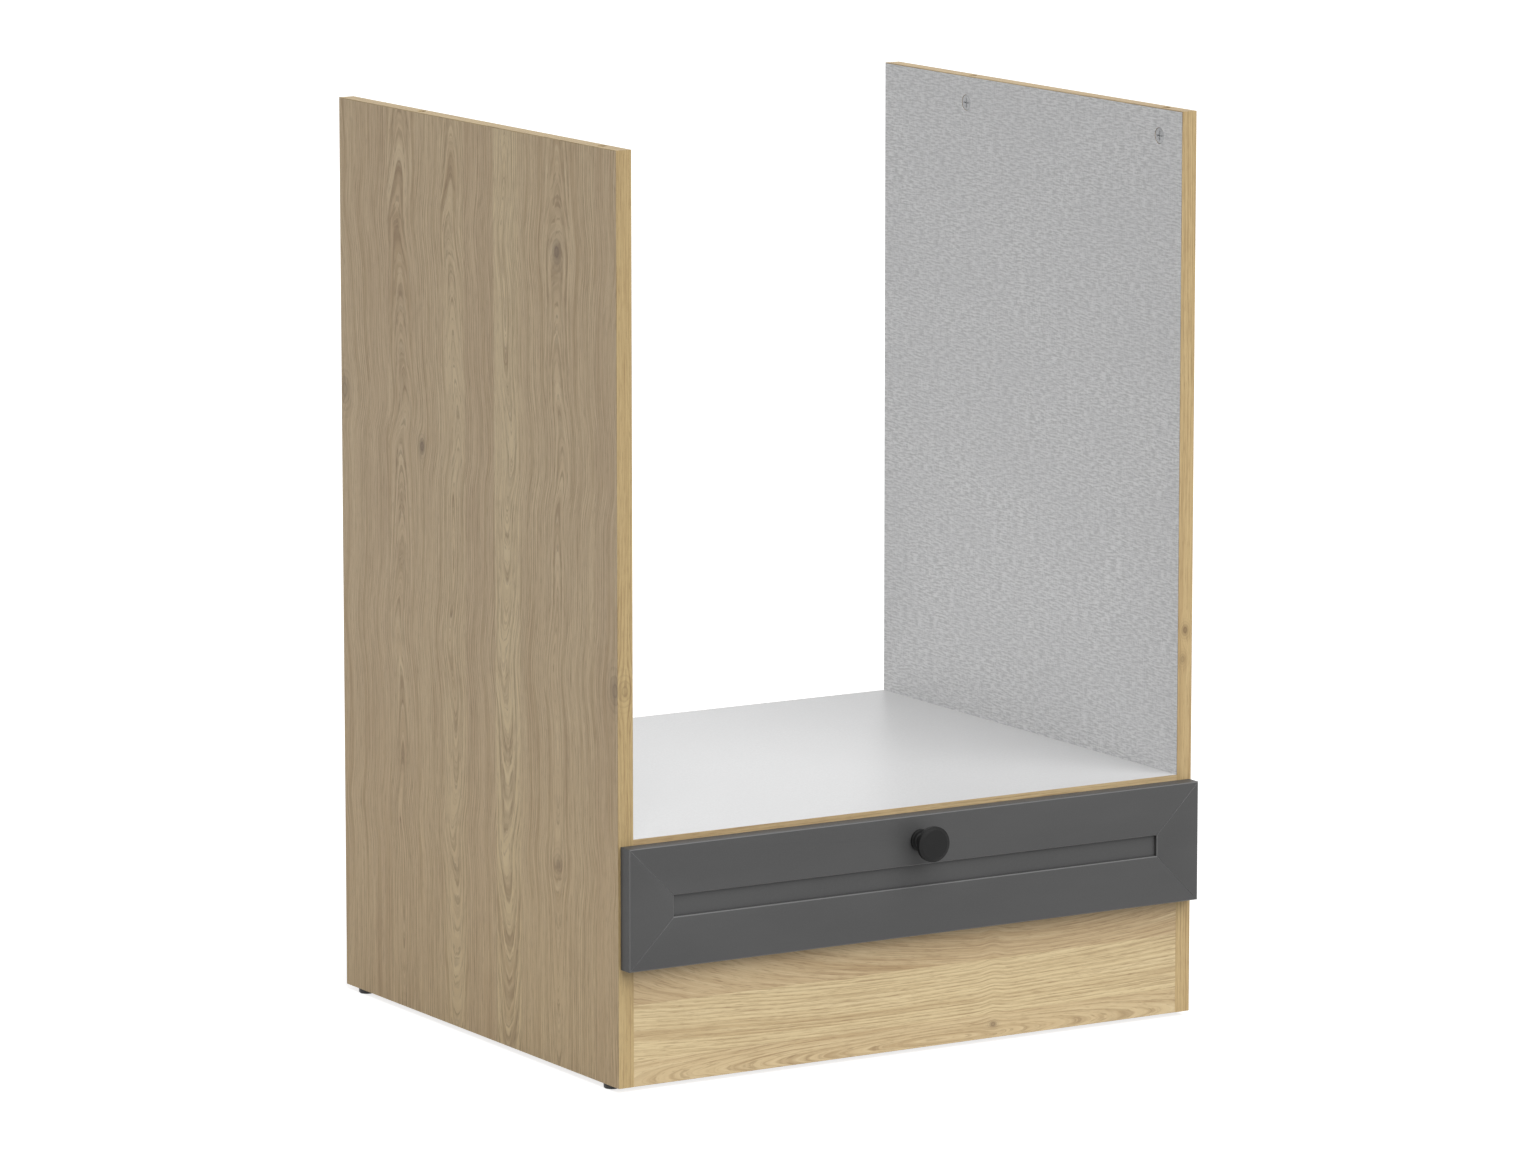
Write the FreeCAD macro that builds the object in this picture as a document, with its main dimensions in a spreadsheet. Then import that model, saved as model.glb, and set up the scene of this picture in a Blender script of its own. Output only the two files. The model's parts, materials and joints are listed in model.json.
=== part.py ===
"""Base housing for a built-in oven: two tall side panels, an oven shelf and a low drawer over a plinth.

Frame: +Z up, +X to the right seen from the front, the drawer opens towards -Y.
The origin lies on the floor, under the middle of the whole outline, knob included.
All lengths are in millimetres.
"""
import FreeCAD
import Part
import Sketcher
import math
import os
from types import SimpleNamespace

from FreeCAD import Placement, Rotation, Vector

# Driving dimensions: sheet alias, value, what it is.
SIZES = [
    ("unit_width", 600, "outside width over both side panels"),
    ("side_depth", 498, "side panel front to back, edging included"),
    ("side_height", 822, "side panel bottom to top, edging included"),
    ("board", 15, "thickness of the carcass boards"),
    ("edge_band", 0.8, "thickness of the edging strips"),
    ("shelf_level", 220, "top of the oven shelf above the bottom of the side panels"),
    ("plinth_height", 104, "height of the plinth board"),
    ("glide_height", 4.5, "height of the glides under the side panels"),
    ("glide_width", 15, "diameter of the glides"),
    ("glide_inset", 25, "glide centre from the front and rear edges"),
    ("peg_width", 5, "width of the peg on a glide"),
    ("peg_length", 10, "length of the peg on a glide"),
    ("back_thick", 3, "thickness of the back panel"),
    ("back_inset", 12, "back panel to the rear edges"),
    ("groove_depth", 6, "depth of the grooves that hold the back panel"),
    ("groove_play", 0.3, "play of a thin panel in its groove, in thickness and at each edge"),
    ("cam_width", 14.8, "diameter of a cam"),
    ("cam_height", 12, "height of a cam"),
    ("cam_play", 0.1, "radial play of a cam in its bore"),
    ("cam_sink", 0.3, "cam face below the board face"),
    ("cam_mouth", 7.4, "width of the mouth that takes the bolt head"),
    ("cam_slot_width", 1.4, "width of the screwdriver slot"),
    ("cam_slot_length", 9, "length of the screwdriver slot"),
    ("cam_slot_depth", 2, "depth of the screwdriver slot"),
    ("cam_distance", 34, "cam centre from the end of a drawer side"),
    ("dowel_setback", 50, "outer dowels from the front and rear edges"),
    ("worktop_bore", 8, "bore for a worktop bolt"),
    ("bolt_width", 6.8, "width of a cam bolt's shank"),
    ("thread_width", 5, "width of a cam bolt's thread"),
    ("thread_length", 10, "length of a cam bolt's thread"),
    ("dowel_width", 8, "width of a dowel"),
    ("dowel_length", 30, "length of a dowel"),
    ("dowel_short_end", 10, "part of a dowel in the board that it meets"),
    ("fit_play", 0.1, "play of a peg, dowel, bolt or screw in its bore, in width and at its end"),
    ("plinth_dowel_inset", 27, "dowels in the plinth from its lower and upper edges"),
    ("worktop_front", 37, "first worktop bolt from the front edge"),
    ("worktop_pitch", 320, "spacing of the worktop bolts along a side panel"),
    ("worktop_drop", 25, "worktop cam centre below the top edge"),
    ("front_side_reveal", 2, "drawer front inside the outer faces of the side panels"),
    ("front_lower_reveal", 2, "drawer front above the plinth"),
    ("front_upper_reveal", 5, "drawer front below the top of the oven shelf"),
    ("front_thick", 15, "thickness of the drawer front's frame"),
    ("front_gap", 0.5, "drawer front to the front edges of the carcass"),
    ("frame_width", 45, "width of the front's rails and stiles"),
    ("front_chamfer", 0.8, "softened edges of the front's members"),
    ("mitre_chamfer", 0.3, "fine chamfer along the mitre lines of the front"),
    ("panel_recess", 3.5, "inset panel behind the face of the frame"),
    ("panel_thick", 6, "thickness of the inset panel"),
    ("panel_tongue", 4, "depth of the frame's groove for the inset panel"),
    ("knob_width", 32, "diameter of the knob's head"),
    ("knob_length", 25, "knob's projection from the front"),
    ("knob_base_width", 20, "diameter of the knob's base"),
    ("knob_base_thick", 3, "thickness of the knob's base"),
    ("knob_neck_width", 12, "diameter of the knob's neck"),
    ("knob_rim", 4.5, "thickness of the knob's head at its rim"),
    ("knob_bevel", 1, "depth of the bevel round the knob's face"),
    ("knob_bevel_width", 2.5, "width of the bevel round the knob's face"),
    ("knob_bore_depth", 12, "depth of the threaded bore in the knob"),
    ("knob_screw_head", 2.2, "thickness of the knob screw's head"),
    ("knob_screw_width", 4, "width of the knob screw's shank"),
    ("drawer_board", 15, "thickness of the drawer box's boards"),
    ("rear_space", 33.2, "drawer box to the groove of the back panel"),
    ("upper_space", 14, "drawer box to the underside of the oven shelf"),
    ("bottom_thick", 3, "thickness of the drawer bottom"),
    ("bottom_rise", 7, "drawer bottom above the underside of the drawer box"),
    ("bottom_groove", 5, "depth of the grooves that hold the drawer bottom"),
    ("drawer_joint_spread", 12, "dowel to cam bolt, up and down the end of a drawer side"),
    ("housing_depth", 5, "depth of the housings in the drawer sides that hold the drawer back"),
    ("housing_play", 0.1, "play of the drawer back in its housings"),
    ("housing_setback", 12, "drawer back in front of the rear ends of the drawer sides"),
    ("runner_setback", 3, "cabinet runner behind the front edges"),
    ("runner_rise", 10, "cabinet runner above the bottom panel"),
    ("steel", 1.2, "sheet thickness of the runners"),
    ("bend_radius", 1.2, "outside radius of the bends in the runners"),
    ("upper_flange", 9, "width of the cabinet runner's upper flange"),
    ("head_clearance", 0.4, "rivet head to the screw heads of the other runner that it passes"),
    ("run_flange_play", 1.3, "drawer runner's top flange to the web of the cabinet runner"),
    ("seat_flange", 12, "width of the flange under a drawer side"),
    ("flange_gap", 1.2, "drawer runner's top flange above the cabinet runner"),
    ("stop_reach", 6.5, "stop tab's reach from the web of the cabinet runner"),
    ("stop_drop", 4, "front stop tab's drop below the upper flange"),
    ("stop_play", 1, "roller to stop tab with the drawer fully open"),
    ("roller_width", 18, "diameter of a roller"),
    ("roller_thick", 7.4, "length of a roller along its axle"),
    ("roller_gap", 0.3, "roller to the flange that it runs on or under"),
    ("roller_inset", 11, "roller centre from the end of its runner"),
    ("roller_side_play", 0.1, "roller to the web that carries it"),
    ("notch_play", 4, "free length between the front roller and the upper flange"),
    ("axle_width", 5, "diameter of a roller's rivet"),
    ("axle_play", 0.05, "radial running play of a roller on its rivet"),
    ("rivet_head_width", 8, "diameter of a rivet head"),
    ("rivet_head_thick", 1, "thickness of a rivet head"),
    ("runner_overlap", 110, "length of a drawer runner that stays in the cabinet with the drawer open"),
    ("screw_width", 4, "width of a runner screw's shank"),
    ("screw_length", 11, "length of a runner screw below its head"),
    ("screw_head_width", 8, "diameter of a runner screw's head"),
    ("screw_head_thick", 1.1, "thickness of a runner screw's head"),
    ("screw_front", 34, "first runner screw from the front of the runner"),
    ("screw_pitch", 288, "spacing of the runner screws"),
]

doc = FreeCAD.newDocument("oven_housing")
sheet = doc.addObject("Spreadsheet::Sheet", "Sizes")
subparts = []


class Size:
    """A length that carries its value and the sheet expression that gives it."""

    def __init__(self, value, text):
        self.value = float(value)
        self.text = text

    @staticmethod
    def of(item):
        return item if isinstance(item, Size) else Size(item, repr(float(item)))

    def joined(self, sign, other, value):
        return Size(value, "(%s %s %s)" % (self.text, sign, other.text))

    def __add__(self, other):
        other = Size.of(other)
        return self.joined("+", other, self.value + other.value)

    def __radd__(self, other):
        return Size.of(other) + self

    def __sub__(self, other):
        other = Size.of(other)
        return self.joined("-", other, self.value - other.value)

    def __rsub__(self, other):
        return Size.of(other) - self

    def __mul__(self, other):
        other = Size.of(other)
        return self.joined("*", other, self.value * other.value)

    def __rmul__(self, other):
        return Size.of(other) * self

    def __truediv__(self, other):
        other = Size.of(other)
        return self.joined("/", other, self.value / other.value)

    def __neg__(self):
        return Size.of(0) - self


def fill_sheet():
    """One row for each driving dimension: its alias, its value and what it is."""
    for row, (alias, value, meaning) in enumerate(SIZES, 1):
        sheet.set("A%d" % row, alias)
        sheet.set("B%d" % row, str(value))
        sheet.set("C%d" % row, meaning)
        sheet.setAlias("B%d" % row, alias)
    doc.recompute()
    return SimpleNamespace(**{alias: Size(value, "Sizes." + alias) for alias, value, _ in SIZES})


d = fill_sheet()

# Places that several sub-parts share, in the frame of the whole unit.
inner_width = d.unit_width - d.board * 2
inner_face = -d.unit_width / 2 + d.board
total_depth = d.side_depth + d.front_gap + d.front_thick + d.knob_length
front_edge = d.knob_length + d.front_thick + d.front_gap - total_depth / 2
core_front = front_edge + d.edge_band
core_depth = d.side_depth - d.edge_band
core_height = d.side_height - d.edge_band
carcass_base = d.glide_height
plinth_top = carcass_base + d.plinth_height
bottom_top = plinth_top + d.board
shelf_top = carcass_base + d.shelf_level
shelf_under = shelf_top - d.board
front_back = front_edge - d.front_gap
front_face = front_back - d.front_thick
front_base = plinth_top + d.front_lower_reveal
front_width = d.unit_width - d.front_side_reveal * 2
front_height = shelf_top - d.front_upper_reveal - front_base
knob_level = front_base + front_height - d.frame_width / 2
runner_base = bottom_top + d.runner_rise
runner_front = front_edge + d.runner_setback
head_space = d.screw_head_thick + d.head_clearance
runner_space = (d.steel + d.roller_side_play) * 2 + d.roller_thick + d.rivet_head_thick + head_space
drawer_outer = inner_face + runner_space
drawer_inner = drawer_outer + d.drawer_board
drawer_height = shelf_under - d.upper_space - runner_base
drawer_dowel_level = front_base + front_height / 2 - d.drawer_joint_spread / 2 - runner_base
drawer_cam_level = drawer_dowel_level + d.drawer_joint_spread
bottom_low = runner_base + d.bottom_rise
groove_width = d.back_thick + d.groove_play
groove_front = front_edge + d.side_depth - d.back_inset - groove_width
drawer_depth = groove_front - d.rear_space - front_back
tongue = d.groove_depth - d.groove_play
bottom_slot = d.bottom_thick + d.groove_play
bottom_tongue = d.bottom_groove - d.groove_play

# Sizes of the runner pair; its heights are above the underside of the cabinet runner.
runner_length = drawer_depth
travel = runner_length - d.runner_overlap
lower_flange = runner_space - d.steel - head_space
run_flange = runner_space - d.steel - d.run_flange_play
channel_height = d.steel * 2 + d.roller_width + d.roller_gap * 2
run_level = channel_height + d.flange_gap
front_axle_level = run_level - d.roller_gap - d.roller_width / 2
rear_axle_level = d.steel + d.roller_gap + d.roller_width / 2
rear_axle_place = runner_length - d.roller_inset
front_stop_place = front_back - runner_front + rear_axle_place - travel - d.roller_width / 2 - d.stop_play

# Bores that fasteners share, all along the depth of a board behind its edging.
dowel_places = [d.dowel_setback - d.edge_band, d.side_depth / 2 - d.edge_band,
                d.side_depth - d.dowel_setback - d.edge_band]
plinth_levels = [d.plinth_dowel_inset, d.plinth_height - d.plinth_dowel_inset]
worktop_places = [d.worktop_front - d.edge_band, d.worktop_front + d.worktop_pitch - d.edge_band]
glide_places = [d.glide_inset - d.edge_band, d.side_depth - d.glide_inset - d.edge_band]
cam_bore = d.cam_width + d.cam_play * 2
cam_depth = d.cam_height + d.cam_sink
screw_places = [d.screw_front, d.screw_front + d.screw_pitch]
housing_front = drawer_depth - d.housing_setback - d.drawer_board - d.housing_play
turn_none = Rotation()
turn_in = Rotation(Vector(0, 1, 0), 90)
turn_out = Rotation(Vector(0, 1, 0), -90)
turn_back = Rotation(Vector(1, 0, 0), -90)


def bind(thing, prop, size):
    """Tie one property of a document object to the sheet."""
    thing.setExpression(prop, Size.of(size).text)


def place(thing, x, y, z, turn=turn_none):
    """Put a sub-part in the frame of the whole unit."""
    spot = [Size.of(value) for value in (x, y, z)]
    thing.Placement = Placement(Vector(*[size.value for size in spot]), turn)
    for axis, size in zip("xyz", spot):
        bind(thing, "Placement.Base." + axis, size)


def keep(thing, label):
    """Name a sub-part and list it for writing."""
    thing.Label = label
    subparts.append(thing)
    return thing


def new_body(name):
    return doc.addObject("PartDesign::Body", name)


def origin_plane(body, role):
    return [plane for plane in body.Origin.OriginFeatures if plane.Role == role][0]


def new_sketch(body, name, plane, offset=0):
    """An empty sketch on one of the body's own origin planes, moved along the plane's normal."""
    sketch = body.newObject("Sketcher::SketchObject", name)
    sketch.AttachmentSupport = [(origin_plane(body, plane), "")]
    sketch.MapMode = "FlatFace"
    offset = Size.of(offset)
    sketch.AttachmentOffset = Placement(Vector(0, 0, offset.value), turn_none)
    bind(sketch, "AttachmentOffset.Base.z", offset)
    return sketch


def pin_point(sketch, piece, point, x, y):
    """Hold one point of the sketch at a place measured from the sketch's origin."""
    for kind, size in (("DistanceX", x), ("DistanceY", y)):
        size = Size.of(size)
        number = sketch.addConstraint(Sketcher.Constraint(kind, -1, 1, piece, point, size.value))
        bind(sketch, "Constraints[%d]" % number, size)


def draw_outline(sketch, points):
    """A closed outline of straight lines, every corner pinned."""
    flat = [Vector(Size.of(x).value, Size.of(y).value, 0) for x, y in points]
    first = sketch.GeometryCount
    for number, start in enumerate(flat):
        sketch.addGeometry(Part.LineSegment(start, flat[(number + 1) % len(flat)]))
    for number, (x, y) in enumerate(points):
        before = first + (number - 1) % len(points)
        sketch.addConstraint(Sketcher.Constraint("Coincident", before, 2, first + number, 1))
        pin_point(sketch, first + number, 1, x, y)


def draw_rectangle(sketch, x_low, y_low, x_high, y_high):
    draw_outline(sketch, [(x_low, y_low), (x_high, y_low), (x_high, y_high), (x_low, y_high)])


def draw_circles(sketch, centres, diameter):
    """Equal circles, each with its centre pinned."""
    diameter = Size.of(diameter)
    for x, y in centres:
        middle = Vector(Size.of(x).value, Size.of(y).value, 0)
        circle = sketch.addGeometry(Part.Circle(middle, Vector(0, 0, 1), diameter.value / 2))
        number = sketch.addConstraint(Sketcher.Constraint("Diameter", circle, diameter.value))
        bind(sketch, "Constraints[%d]" % number, diameter)
        pin_point(sketch, circle, 3, x, y)


def draw_bars(sketch, centres, width):
    """Equal eight-sided outlines, their flats square to the sketch: a hidden shank or its bore."""
    for x, y in centres:
        draw_outline(sketch, [
            (x + width / 2 * math.cos(math.radians(45 * step + 22.5)),
             y + width / 2 * math.sin(math.radians(45 * step + 22.5))) for step in range(8)])


def pad(body, sketch, length, backwards=False):
    feature = body.newObject("PartDesign::Pad", sketch.Name + "_pad")
    feature.Profile = sketch
    feature.Reversed = backwards
    bind(feature, "Length", length)
    return feature


def pocket(body, sketch, depth, backwards=False):
    feature = body.newObject("PartDesign::Pocket", sketch.Name + "_cut")
    feature.Profile = sketch
    feature.Reversed = backwards
    bind(feature, "Length", depth)
    return feature


def revolve(body, sketch):
    """Turn a half section about the sketch's upright axis."""
    feature = body.newObject("PartDesign::Revolution", sketch.Name + "_turned")
    feature.Profile = sketch
    feature.ReferenceAxis = (sketch, ["V_Axis"])
    feature.Angle = 360
    return feature


def edge_names(block, wanted):
    """Names of the edges of a feature for which a test holds."""
    doc.recompute()
    return ["Edge%d" % number for number, edge in enumerate(block.Shape.Edges, 1) if wanted(edge)]


def soften(body, name, block, size, wanted):
    """Chamfer the edges of a feature that a test picks out."""
    feature = body.newObject("PartDesign::Chamfer", name)
    feature.Base = (block, edge_names(block, wanted))
    bind(feature, "Size", size)
    return feature


def bend(body, name, block, corners):
    """Round the lengthwise edges at the outside corners of a bent section: (across, up) each."""
    places = [(Size.of(x).value, Size.of(z).value) for x, z in corners]

    def outside(edge):
        box = edge.BoundBox
        return box.YLength > 1 and any(
            math.hypot(box.XMin - x, box.ZMin - z) < 1e-6 and box.XLength + box.ZLength < 1e-6
            for x, z in places)

    feature = body.newObject("PartDesign::Fillet", name)
    feature.Base = (block, edge_names(block, outside))
    bind(feature, "Radius", d.bend_radius)


# Where a cut starts: the sketch plane, the sign of its offset and whether the cut runs along the normal.
FACES = {
    "left": ("YZ_Plane", 1, True),
    "right": ("YZ_Plane", 1, False),
    "front": ("XZ_Plane", -1, False),
    "rear": ("XZ_Plane", -1, True),
    "bottom": ("XY_Plane", 1, True),
    "top": ("XY_Plane", 1, False),
}


def face_sketch(body, name, face, level):
    plane, sign, backwards = FACES[face]
    return new_sketch(body, name, plane, Size.of(level) * sign), backwards


def bore(body, name, face, level, centres, width, depth, draw=draw_circles):
    """Equal bores that start at one face of a board and go into it."""
    sketch, backwards = face_sketch(body, name, face, level)
    draw(sketch, centres, width)
    return pocket(body, sketch, depth, backwards)


def socket(body, name, face, level, centres, width, depth):
    """Bores for a hidden peg, dowel, bolt or screw, with the play that it has in them."""
    return bore(body, name, face, level, centres, width + d.fit_play, depth + d.fit_play, draw_bars)


def slot(body, name, face, level, corners, depth):
    """A rectangular groove or notch that starts at one face of a board."""
    sketch, backwards = face_sketch(body, name, face, level)
    draw_rectangle(sketch, *corners)
    return pocket(body, sketch, depth, backwards)


def board_body(name, x_size, y_size, z_size):
    """A plain board with its lower left front corner at the body's origin."""
    body = new_body(name)
    sketch = new_sketch(body, name + "_outline", "XY_Plane")
    draw_rectangle(sketch, 0, 0, x_size, y_size)
    pad(body, sketch, z_size)
    return body


def strip(name, x_size, y_size, z_size):
    """A plain strip or thin panel."""
    box = doc.addObject("Part::Box", name)
    for prop, size in (("Length", x_size), ("Width", y_size), ("Height", z_size)):
        bind(box, prop, size)
    return box


def mirrored(source, label):
    """The right-hand twin of a left-hand sub-part."""
    twin = doc.addObject("Part::Mirroring", label)
    twin.Source = source
    twin.Base = Vector(0, 0, 0)
    twin.Normal = Vector(1, 0, 0)
    return keep(twin, label)


def group(label, pieces):
    """Several separate solids of one kind as one sub-part."""
    compound = doc.addObject("Part::Compound", label)
    compound.Links = pieces
    return keep(compound, label)


def copies(label, master, spots):
    """The same fastener at every spot that is drilled for it: (x, y, z, turn) each."""
    links = []
    for number, (x, y, z, turn) in enumerate(spots, 1):
        link = doc.addObject("App::Link", "%s_%d" % (label, number))
        link.LinkedObject = master
        place(link, x, y, z, turn)
        links.append(link)
    return group(label, links)


def side_panels():
    """Core of the left side panel, drilled from its inner face and its edges, and its right-hand twin."""
    body = board_body("left_side_panel", d.board, core_depth, core_height)
    middle = d.board / 2
    bore(body, "left_side_worktop_bores", "top", core_height,
         [(middle, y) for y in worktop_places], d.worktop_bore, d.worktop_drop - d.edge_band)
    bore(body, "left_side_worktop_cam_bores", "right", d.board,
         [(y, d.side_height - d.worktop_drop) for y in worktop_places], cam_bore, cam_depth)
    dowels = [(y, level + middle) for level in (d.plinth_height, d.shelf_level - d.board)
              for y in dowel_places]
    dowels += [(middle - d.edge_band, level) for level in plinth_levels]
    socket(body, "left_side_dowel_sockets", "right", d.board, dowels, d.dowel_width, d.dowel_short_end)
    runner_middle = runner_base - carcass_base + channel_height / 2
    socket(body, "left_side_screw_sockets", "right", d.board,
           [(runner_front - core_front + y, runner_middle) for y in screw_places],
           d.screw_width, d.screw_length - d.steel)
    socket(body, "left_side_glide_sockets", "bottom", 0, [(middle, y) for y in glide_places],
           d.peg_width, d.peg_length)
    groove_start = groove_front - core_front
    slot(body, "left_side_groove", "right", d.board,
         (groove_start, bottom_top - carcass_base - d.groove_depth,
          groove_start + groove_width, shelf_under - carcass_base + d.groove_depth), d.groove_depth)
    place(body, -d.unit_width / 2, core_front, carcass_base)
    keep(body, "left_side_panel")
    mirrored(body, "right_side_panel")


def side_edging():
    """Edging along the front and the top of each side panel."""
    upright = strip("left_front_strip", d.board, d.edge_band, d.side_height)
    place(upright, -d.unit_width / 2, front_edge, carcass_base)
    level = board_body("left_top_strip", d.board, core_depth, d.edge_band)
    bore(level, "left_top_strip_bores", "top", d.edge_band,
         [(d.board / 2, y) for y in worktop_places], d.worktop_bore, d.edge_band)
    place(level, -d.unit_width / 2, core_front, carcass_base + core_height)
    mirrored(group("left_side_edging", [upright, level]), "right_side_edging")


def end_sockets(body, width, spots):
    """Dowel sockets in both ends of a board that stands between the side panels."""
    for face, level in (("left", 0), ("right", width)):
        socket(body, "%s_%s_sockets" % (body.Name, face), face, level, spots, d.dowel_width,
               d.dowel_length - d.dowel_short_end)


def level_panel(name, groove_face, bottom_level):
    """A horizontal board between the sides, doweled at both ends and grooved for the back panel."""
    body = board_body(name, inner_width, core_depth, d.board)
    end_sockets(body, inner_width, [(y, d.board / 2) for y in dowel_places])
    groove_start = groove_front - core_front
    slot(body, name + "_groove", groove_face, 0 if groove_face == "bottom" else d.board,
         (0, groove_start, inner_width, groove_start + groove_width), d.groove_depth)
    place(body, inner_face, core_front, bottom_level)
    keep(body, name)
    edging = strip(name + "_edging", inner_width, d.edge_band, d.board)
    place(edging, inner_face, front_edge, bottom_level)
    keep(edging, name + "_edging")


def plinth():
    """Front plinth board, flush with the front edges and doweled at both ends."""
    body = board_body("plinth_board", inner_width, d.board, d.plinth_height)
    end_sockets(body, inner_width, [(d.board / 2, level) for level in plinth_levels])
    place(body, inner_face, front_edge, carcass_base)
    keep(body, "plinth_board")


def back_panel():
    """Thin back behind the drawer, held in grooves on all four sides."""
    panel = strip("back_panel", inner_width + tongue * 2, d.back_thick,
                  shelf_under - bottom_top + tongue * 2)
    place(panel, inner_face - tongue, groove_front + d.groove_play / 2, bottom_top - tongue)
    keep(panel, "back_panel")


def stepped(name, steps):
    """A straight fastener along +Z, made of steps: (start, end, width, how its outline is drawn) each."""
    body = new_body(name)
    for number, (start, end, width, draw) in enumerate(steps, 1):
        sketch = new_sketch(body, "%s_step_%d" % (name, number), "XY_Plane", start)
        draw(sketch, [(0, 0)], width)
        pad(body, sketch, end - start)
    return body


def screw_master(name, head_thick, length, width):
    """A screw with a flat round head below z = 0 and its shank above."""
    return stepped(name, [(-head_thick, 0, d.screw_head_width, draw_circles), (0, length, width, draw_bars)])


def cam_master():
    """A cam: round body, a mouth for the bolt towards +X and a slot for the screwdriver at z = 0."""
    body = stepped("cam", [(0, d.cam_height, d.cam_width, draw_circles)])
    middle = d.board / 2 - d.cam_sink
    mouth = d.cam_mouth / 2
    slot(body, "cam_mouth", "left", -d.bolt_width / 2,
         (-mouth, middle - mouth, mouth, middle + mouth), d.cam_width)
    slot(body, "cam_slot", "bottom", 0,
         (-d.cam_slot_width / 2, -d.cam_slot_length / 2, d.cam_slot_width / 2, d.cam_slot_length / 2),
         d.cam_slot_depth)
    return body


def glides():
    """Plastic glides under the side panels, each with a peg pressed into the bottom edge."""
    glide = stepped("glide", [(0, d.glide_height, d.glide_width, draw_circles),
                              (d.glide_height, d.glide_height + d.peg_length, d.peg_width, draw_bars)])
    x = inner_face - d.board / 2
    copies("glides", glide, [(side * x, core_front + y, 0, turn_none)
                             for side in (1, -1) for y in glide_places])


def carcass_dowels(dowel):
    """Glued dowels between the side panels and the shelf, the bottom panel and the plinth."""
    spots = [(core_front + y, under + d.board / 2)
             for under in (plinth_top, shelf_under) for y in dowel_places]
    spots += [(front_edge + d.board / 2, carcass_base + level) for level in plinth_levels]
    start = inner_face - d.dowel_short_end
    copies("carcass_dowels", dowel, [(x, y, z, turn) for y, z in spots
                                     for x, turn in ((start, turn_in), (-start, turn_out))])


def worktop_cams(cam):
    """Four cams near the top of the side panels, mouths up, that pull a worktop down."""
    level = carcass_base + d.side_height - d.worktop_drop
    x = inner_face - d.cam_sink
    other = turn_in.multiply(Rotation(Vector(0, 0, 1), 180))
    copies("worktop_cams", cam, [(x, core_front + y, level, turn_out) for y in worktop_places]
           + [(-x, core_front + y, level, other) for y in worktop_places])


def cabinet_runners():
    """Bent channel on each side panel, with a notch for its roller and tabs that stop the other roller."""
    body = new_body("left_cabinet_runner")
    sketch = new_sketch(body, "cabinet_runner_section", "XZ_Plane")
    upper = channel_height - d.steel
    draw_outline(sketch, [
        (0, 0), (lower_flange, 0), (lower_flange, d.steel), (d.steel, d.steel), (d.steel, upper),
        (d.upper_flange, upper), (d.upper_flange, channel_height), (0, channel_height)])
    channel = pad(body, sketch, runner_length, True)
    bend(body, "cabinet_runner_bends", channel, [(0, 0), (0, channel_height)])
    tabs = (("front_stop", front_stop_place - d.steel, upper - d.stop_drop),
            ("rear_stop", runner_length - d.steel, d.steel / 2))
    for name, start, low in tabs:
        tab = new_sketch(body, name + "_outline", "XZ_Plane", -start)
        draw_rectangle(tab, d.steel / 2, low, d.stop_reach, channel_height - d.steel / 2)
        pad(body, tab, d.steel, True)
    notch_end = d.roller_inset + d.roller_width / 2 + d.notch_play
    slot(body, "runner_notch", "top", channel_height, (d.steel, 0, d.upper_flange, notch_end), d.steel)
    bore(body, "runner_axle_bore", "left", 0, [(d.roller_inset, front_axle_level)], d.axle_width, d.steel)
    bore(body, "runner_screw_bores", "left", 0, [(y, channel_height / 2) for y in screw_places],
         d.screw_width + d.fit_play, d.steel, draw_bars)
    place(body, inner_face, runner_front, runner_base)
    keep(body, "left_cabinet_runner")
    mirrored(body, "right_cabinet_runner")


def drawer_runners():
    """Bent profile under each drawer side, whose top flange runs on the cabinet's front roller."""
    body = new_body("left_drawer_runner")
    sketch = new_sketch(body, "drawer_runner_section", "XZ_Plane")
    top = run_level + d.steel
    draw_outline(sketch, [
        (-d.steel, -d.steel), (d.seat_flange, -d.steel), (d.seat_flange, 0), (0, 0), (0, top),
        (-run_flange, top), (-run_flange, run_level), (-d.steel, run_level)])
    profile = pad(body, sketch, runner_length, True)
    bend(body, "drawer_runner_bends", profile, [(-d.steel, -d.steel), (0, top)])
    bore(body, "drawer_runner_axle_bore", "left", -d.steel, [(rear_axle_place, rear_axle_level)],
         d.axle_width, d.steel)
    bore(body, "drawer_runner_screw_bores", "bottom", -d.steel,
         [(d.drawer_board / 2, y) for y in screw_places], d.screw_width + d.fit_play, d.steel, draw_bars)
    place(body, drawer_outer, front_back, runner_base)
    keep(body, "left_drawer_runner")
    mirrored(body, "right_drawer_runner")


def rollers():
    """Four plastic rollers: the front ones turn on the cabinet runners, the rear ones on the drawer's."""
    web = d.steel + d.roller_side_play
    spots = (("front", inner_face + web, runner_front + d.roller_inset, front_axle_level, turn_in),
             ("rear", drawer_outer - web, front_back + rear_axle_place, rear_axle_level, turn_out))
    for end, x, y, level, turn in spots:
        name = end + "_left_roller"
        body = stepped(name, [(0, d.roller_thick, d.roller_width, draw_circles)])
        bore(body, name + "_axle_bore", "bottom", 0, [(0, 0)], d.axle_width + d.axle_play * 2, d.roller_thick)
        place(body, x, y, runner_base + level, turn)
        keep(body, name)
        mirrored(body, end + "_right_roller")


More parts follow.
